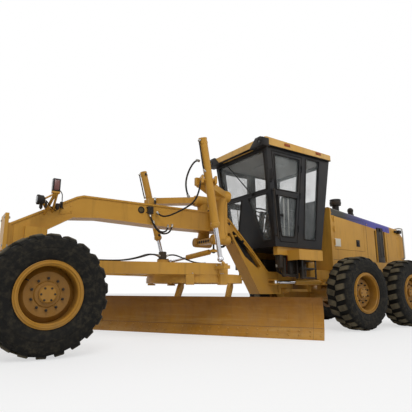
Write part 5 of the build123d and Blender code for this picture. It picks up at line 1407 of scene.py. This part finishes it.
def makePad(name, outline, held, seams):
    even = evenMesh(name, outline)
    even.materials.clear()
    even.materials.append(fabric)
    pad = bpy.data.objects.new(name, even)
    bpy.context.collection.objects.link(pad)
    fillPad(pad, held)
    # Sewn channels pulled in after the filling
    normals = [v.normal.copy() for v in even.vertices]
    for vert, normal in zip(even.vertices, normals):
        if vert.co.z <= held:
            continue
        near = min(abs(vert.co.y + sideOffset / 1000 - line) for line in seatSize["channels"])
        back, height = frontAxle / 1000 - vert.co.x, vert.co.z
        other = min(abs(back * a + height * b - c) for a, b, c in seams)
        depth = sum(seatSize["seam"] * math.exp(-(gap / seatSize["seamWidth"]) ** 2) for gap in (near, other))
        vert.co -= normal * min(depth, seatSize["seamMost"])
    finer = pad.modifiers.new("finer", "SUBSURF")
    finer.levels = finer.render_levels = 1
    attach(pad, "rear_frame")
    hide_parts("seat")


def onSeat(row):
    # A box given about the seat's middle
    return (seatSize["back"] + row[0], seatSize["back"] + row[1], *row[2:])


def makeSeatBase():
    back = seatSize["back"]
    base, arms = Shape(), Shape()
    base.boxes([onSeat(seatSize["pedestal"])], 14)
    for n in range(seatSize["folds"]):
        fold, low = 4 * (n % 2), 1740 + 20 * n
        base.box((back - 205 + fold, back + 25 - fold), (-126, 126), (low, low + 16), 6)
    base.boxes([onSeat(seatSize["pan"])], 10)
    base.plate("side", [(back + b, z) for b, z in seatSize["shell"]], (-190, 190), 8)
    base.done("seatFrame", blackPlastic, "rear_frame", ("seat",))
    lever, across = seatSize["lever"]
    for side in (1, -1):
        arms.boxes([onSeat(seatSize["arm"])], 14, side)
        arms.boxes([onSeat(seatSize["armPost"])], 8, side)
        arms.rod((back + lever, side * across, 2228), (back + lever, side * across, 2276), 15, tip=11,
                 bevel=3)
    arms.done("seatArms", blackPlastic, "rear_frame", ("seat",))


for name, pad in pads.items():
    makePad(name, pad["outline"], pad["held"], pad["seams"])
makeSeatBase()
print("seat done")


# Camera, worked out from the photograph's wheels
view = {"place": (4.730, 5.6108, 0.703), "yaw": 56.71, "pitch": 11.94, "roll": 0.13, "lens": 34.52}


def addCamera():
    yaw, pitch, roll = (math.radians(view[key]) for key in ("yaw", "pitch", "roll"))
    ahead = Vector((-math.cos(yaw) * math.cos(pitch), -math.sin(yaw) * math.cos(pitch), math.sin(pitch)))
    right = ahead.cross(Vector((0, 0, 1))).normalized()
    up = right.cross(ahead)
    turnedRight = right * math.cos(roll) + up * math.sin(roll)
    turnedUp = up * math.cos(roll) - right * math.sin(roll)
    data = bpy.data.cameras.new("photoCamera")
    data.lens = view["lens"]
    data.sensor_width = 36
    data.clip_end = 200
    camera = bpy.data.objects.new("photoCamera", data)
    bpy.context.collection.objects.link(camera)
    turn = Matrix((turnedRight, turnedUp, -ahead)).transposed().to_4x4()
    camera.matrix_world = Matrix.Translation(view["place"]) @ turn
    bpy.context.scene.camera = camera


lamps = [
    # name, place, power, size
    ("keyLamp", (6.0, 10.0, 11.0), 700, 6.0),
    ("fillLamp", (-9.0, 9.0, 7.0), 190, 8.0),
    ("backLamp", (-2.0, -11.0, 9.0), 320, 8.0),
]
lampsAim = (0, 0, 1.2)
worldStrength = 0.5


def addLights():
    for name, place, power, size in lamps:
        data = bpy.data.lights.new(name, "AREA")
        data.energy, data.size = power, size
        lamp = bpy.data.objects.new(name, data)
        bpy.context.collection.objects.link(lamp)
        lamp.location = place
        lamp.rotation_euler = (Vector(lampsAim) - Vector(place)).to_track_quat("-Z", "Y").to_euler()
    world = bpy.data.worlds.new("studio")
    bpy.context.scene.world = world
    world.use_nodes = True
    tree = world.node_tree
    path = tree.nodes.new("ShaderNodeLightPath")
    ground = tree.nodes["Background"]
    white = tree.nodes.new("ShaderNodeBackground")
    ground.inputs["Strength"].default_value = worldStrength
    for background in (ground, white):
        background.inputs["Color"].default_value = (1, 1, 1, 1)
    # Plain white where the camera sees it, straight, through glass or in a reflection
    seen = path.outputs["Is Camera Ray"]
    for ray in ("Is Transmission Ray", "Is Glossy Ray"):
        either = tree.nodes.new("ShaderNodeMath")
        either.operation = "MAXIMUM"
        tree.links.new(seen, either.inputs[0])
        tree.links.new(path.outputs[ray], either.inputs[1])
        seen = either.outputs[0]
    mix = tree.nodes.new("ShaderNodeMixShader")
    for n, output in enumerate((seen, ground.outputs[0], white.outputs[0])):
        tree.links.new(output, mix.inputs[n])
    tree.links.new(mix.outputs[0], tree.nodes["World Output"].inputs["Surface"])


# The floor lies just below the tyres; the camera sees it paler than it is, and the shadow stays
floorSize = {"half": 60, "gap": 0.001, "paler": 0.6}


def addFloor():
    form = bmesh.new()
    bmesh.ops.create_grid(form, x_segments=1, y_segments=1, size=floorSize["half"])
    mesh = bpy.data.meshes.new("floor")
    form.to_mesh(mesh)
    form.free()
    floor = bpy.data.objects.new("floor", mesh)
    bpy.context.collection.objects.link(floor)
    floor.location.z = cadBox[0][2] - floorSize["gap"]
    paint = Paint("paleFloor")
    mesh.materials.append(paint.set(BaseColor=(0.93, 0.93, 0.93, 1), Roughness=0.9))
    seen = paint.node("LightPath") * floorSize["paler"]
    glow = paint.node("Emission", {"Color": (1, 1, 1, 1), "Strength": 1.0})
    mixed = paint.node("MixShader", {0: seen, 1: Wire(paint, paint.shader.outputs[0]), 2: glow})
    paint.tree.links.new(mixed.socket, paint.tree.nodes["Material Output"].inputs["Surface"])


addCamera()
addLights()
addFloor()
bpy.context.scene.view_settings.view_transform = "Standard"
print("camera, lights and floor done")
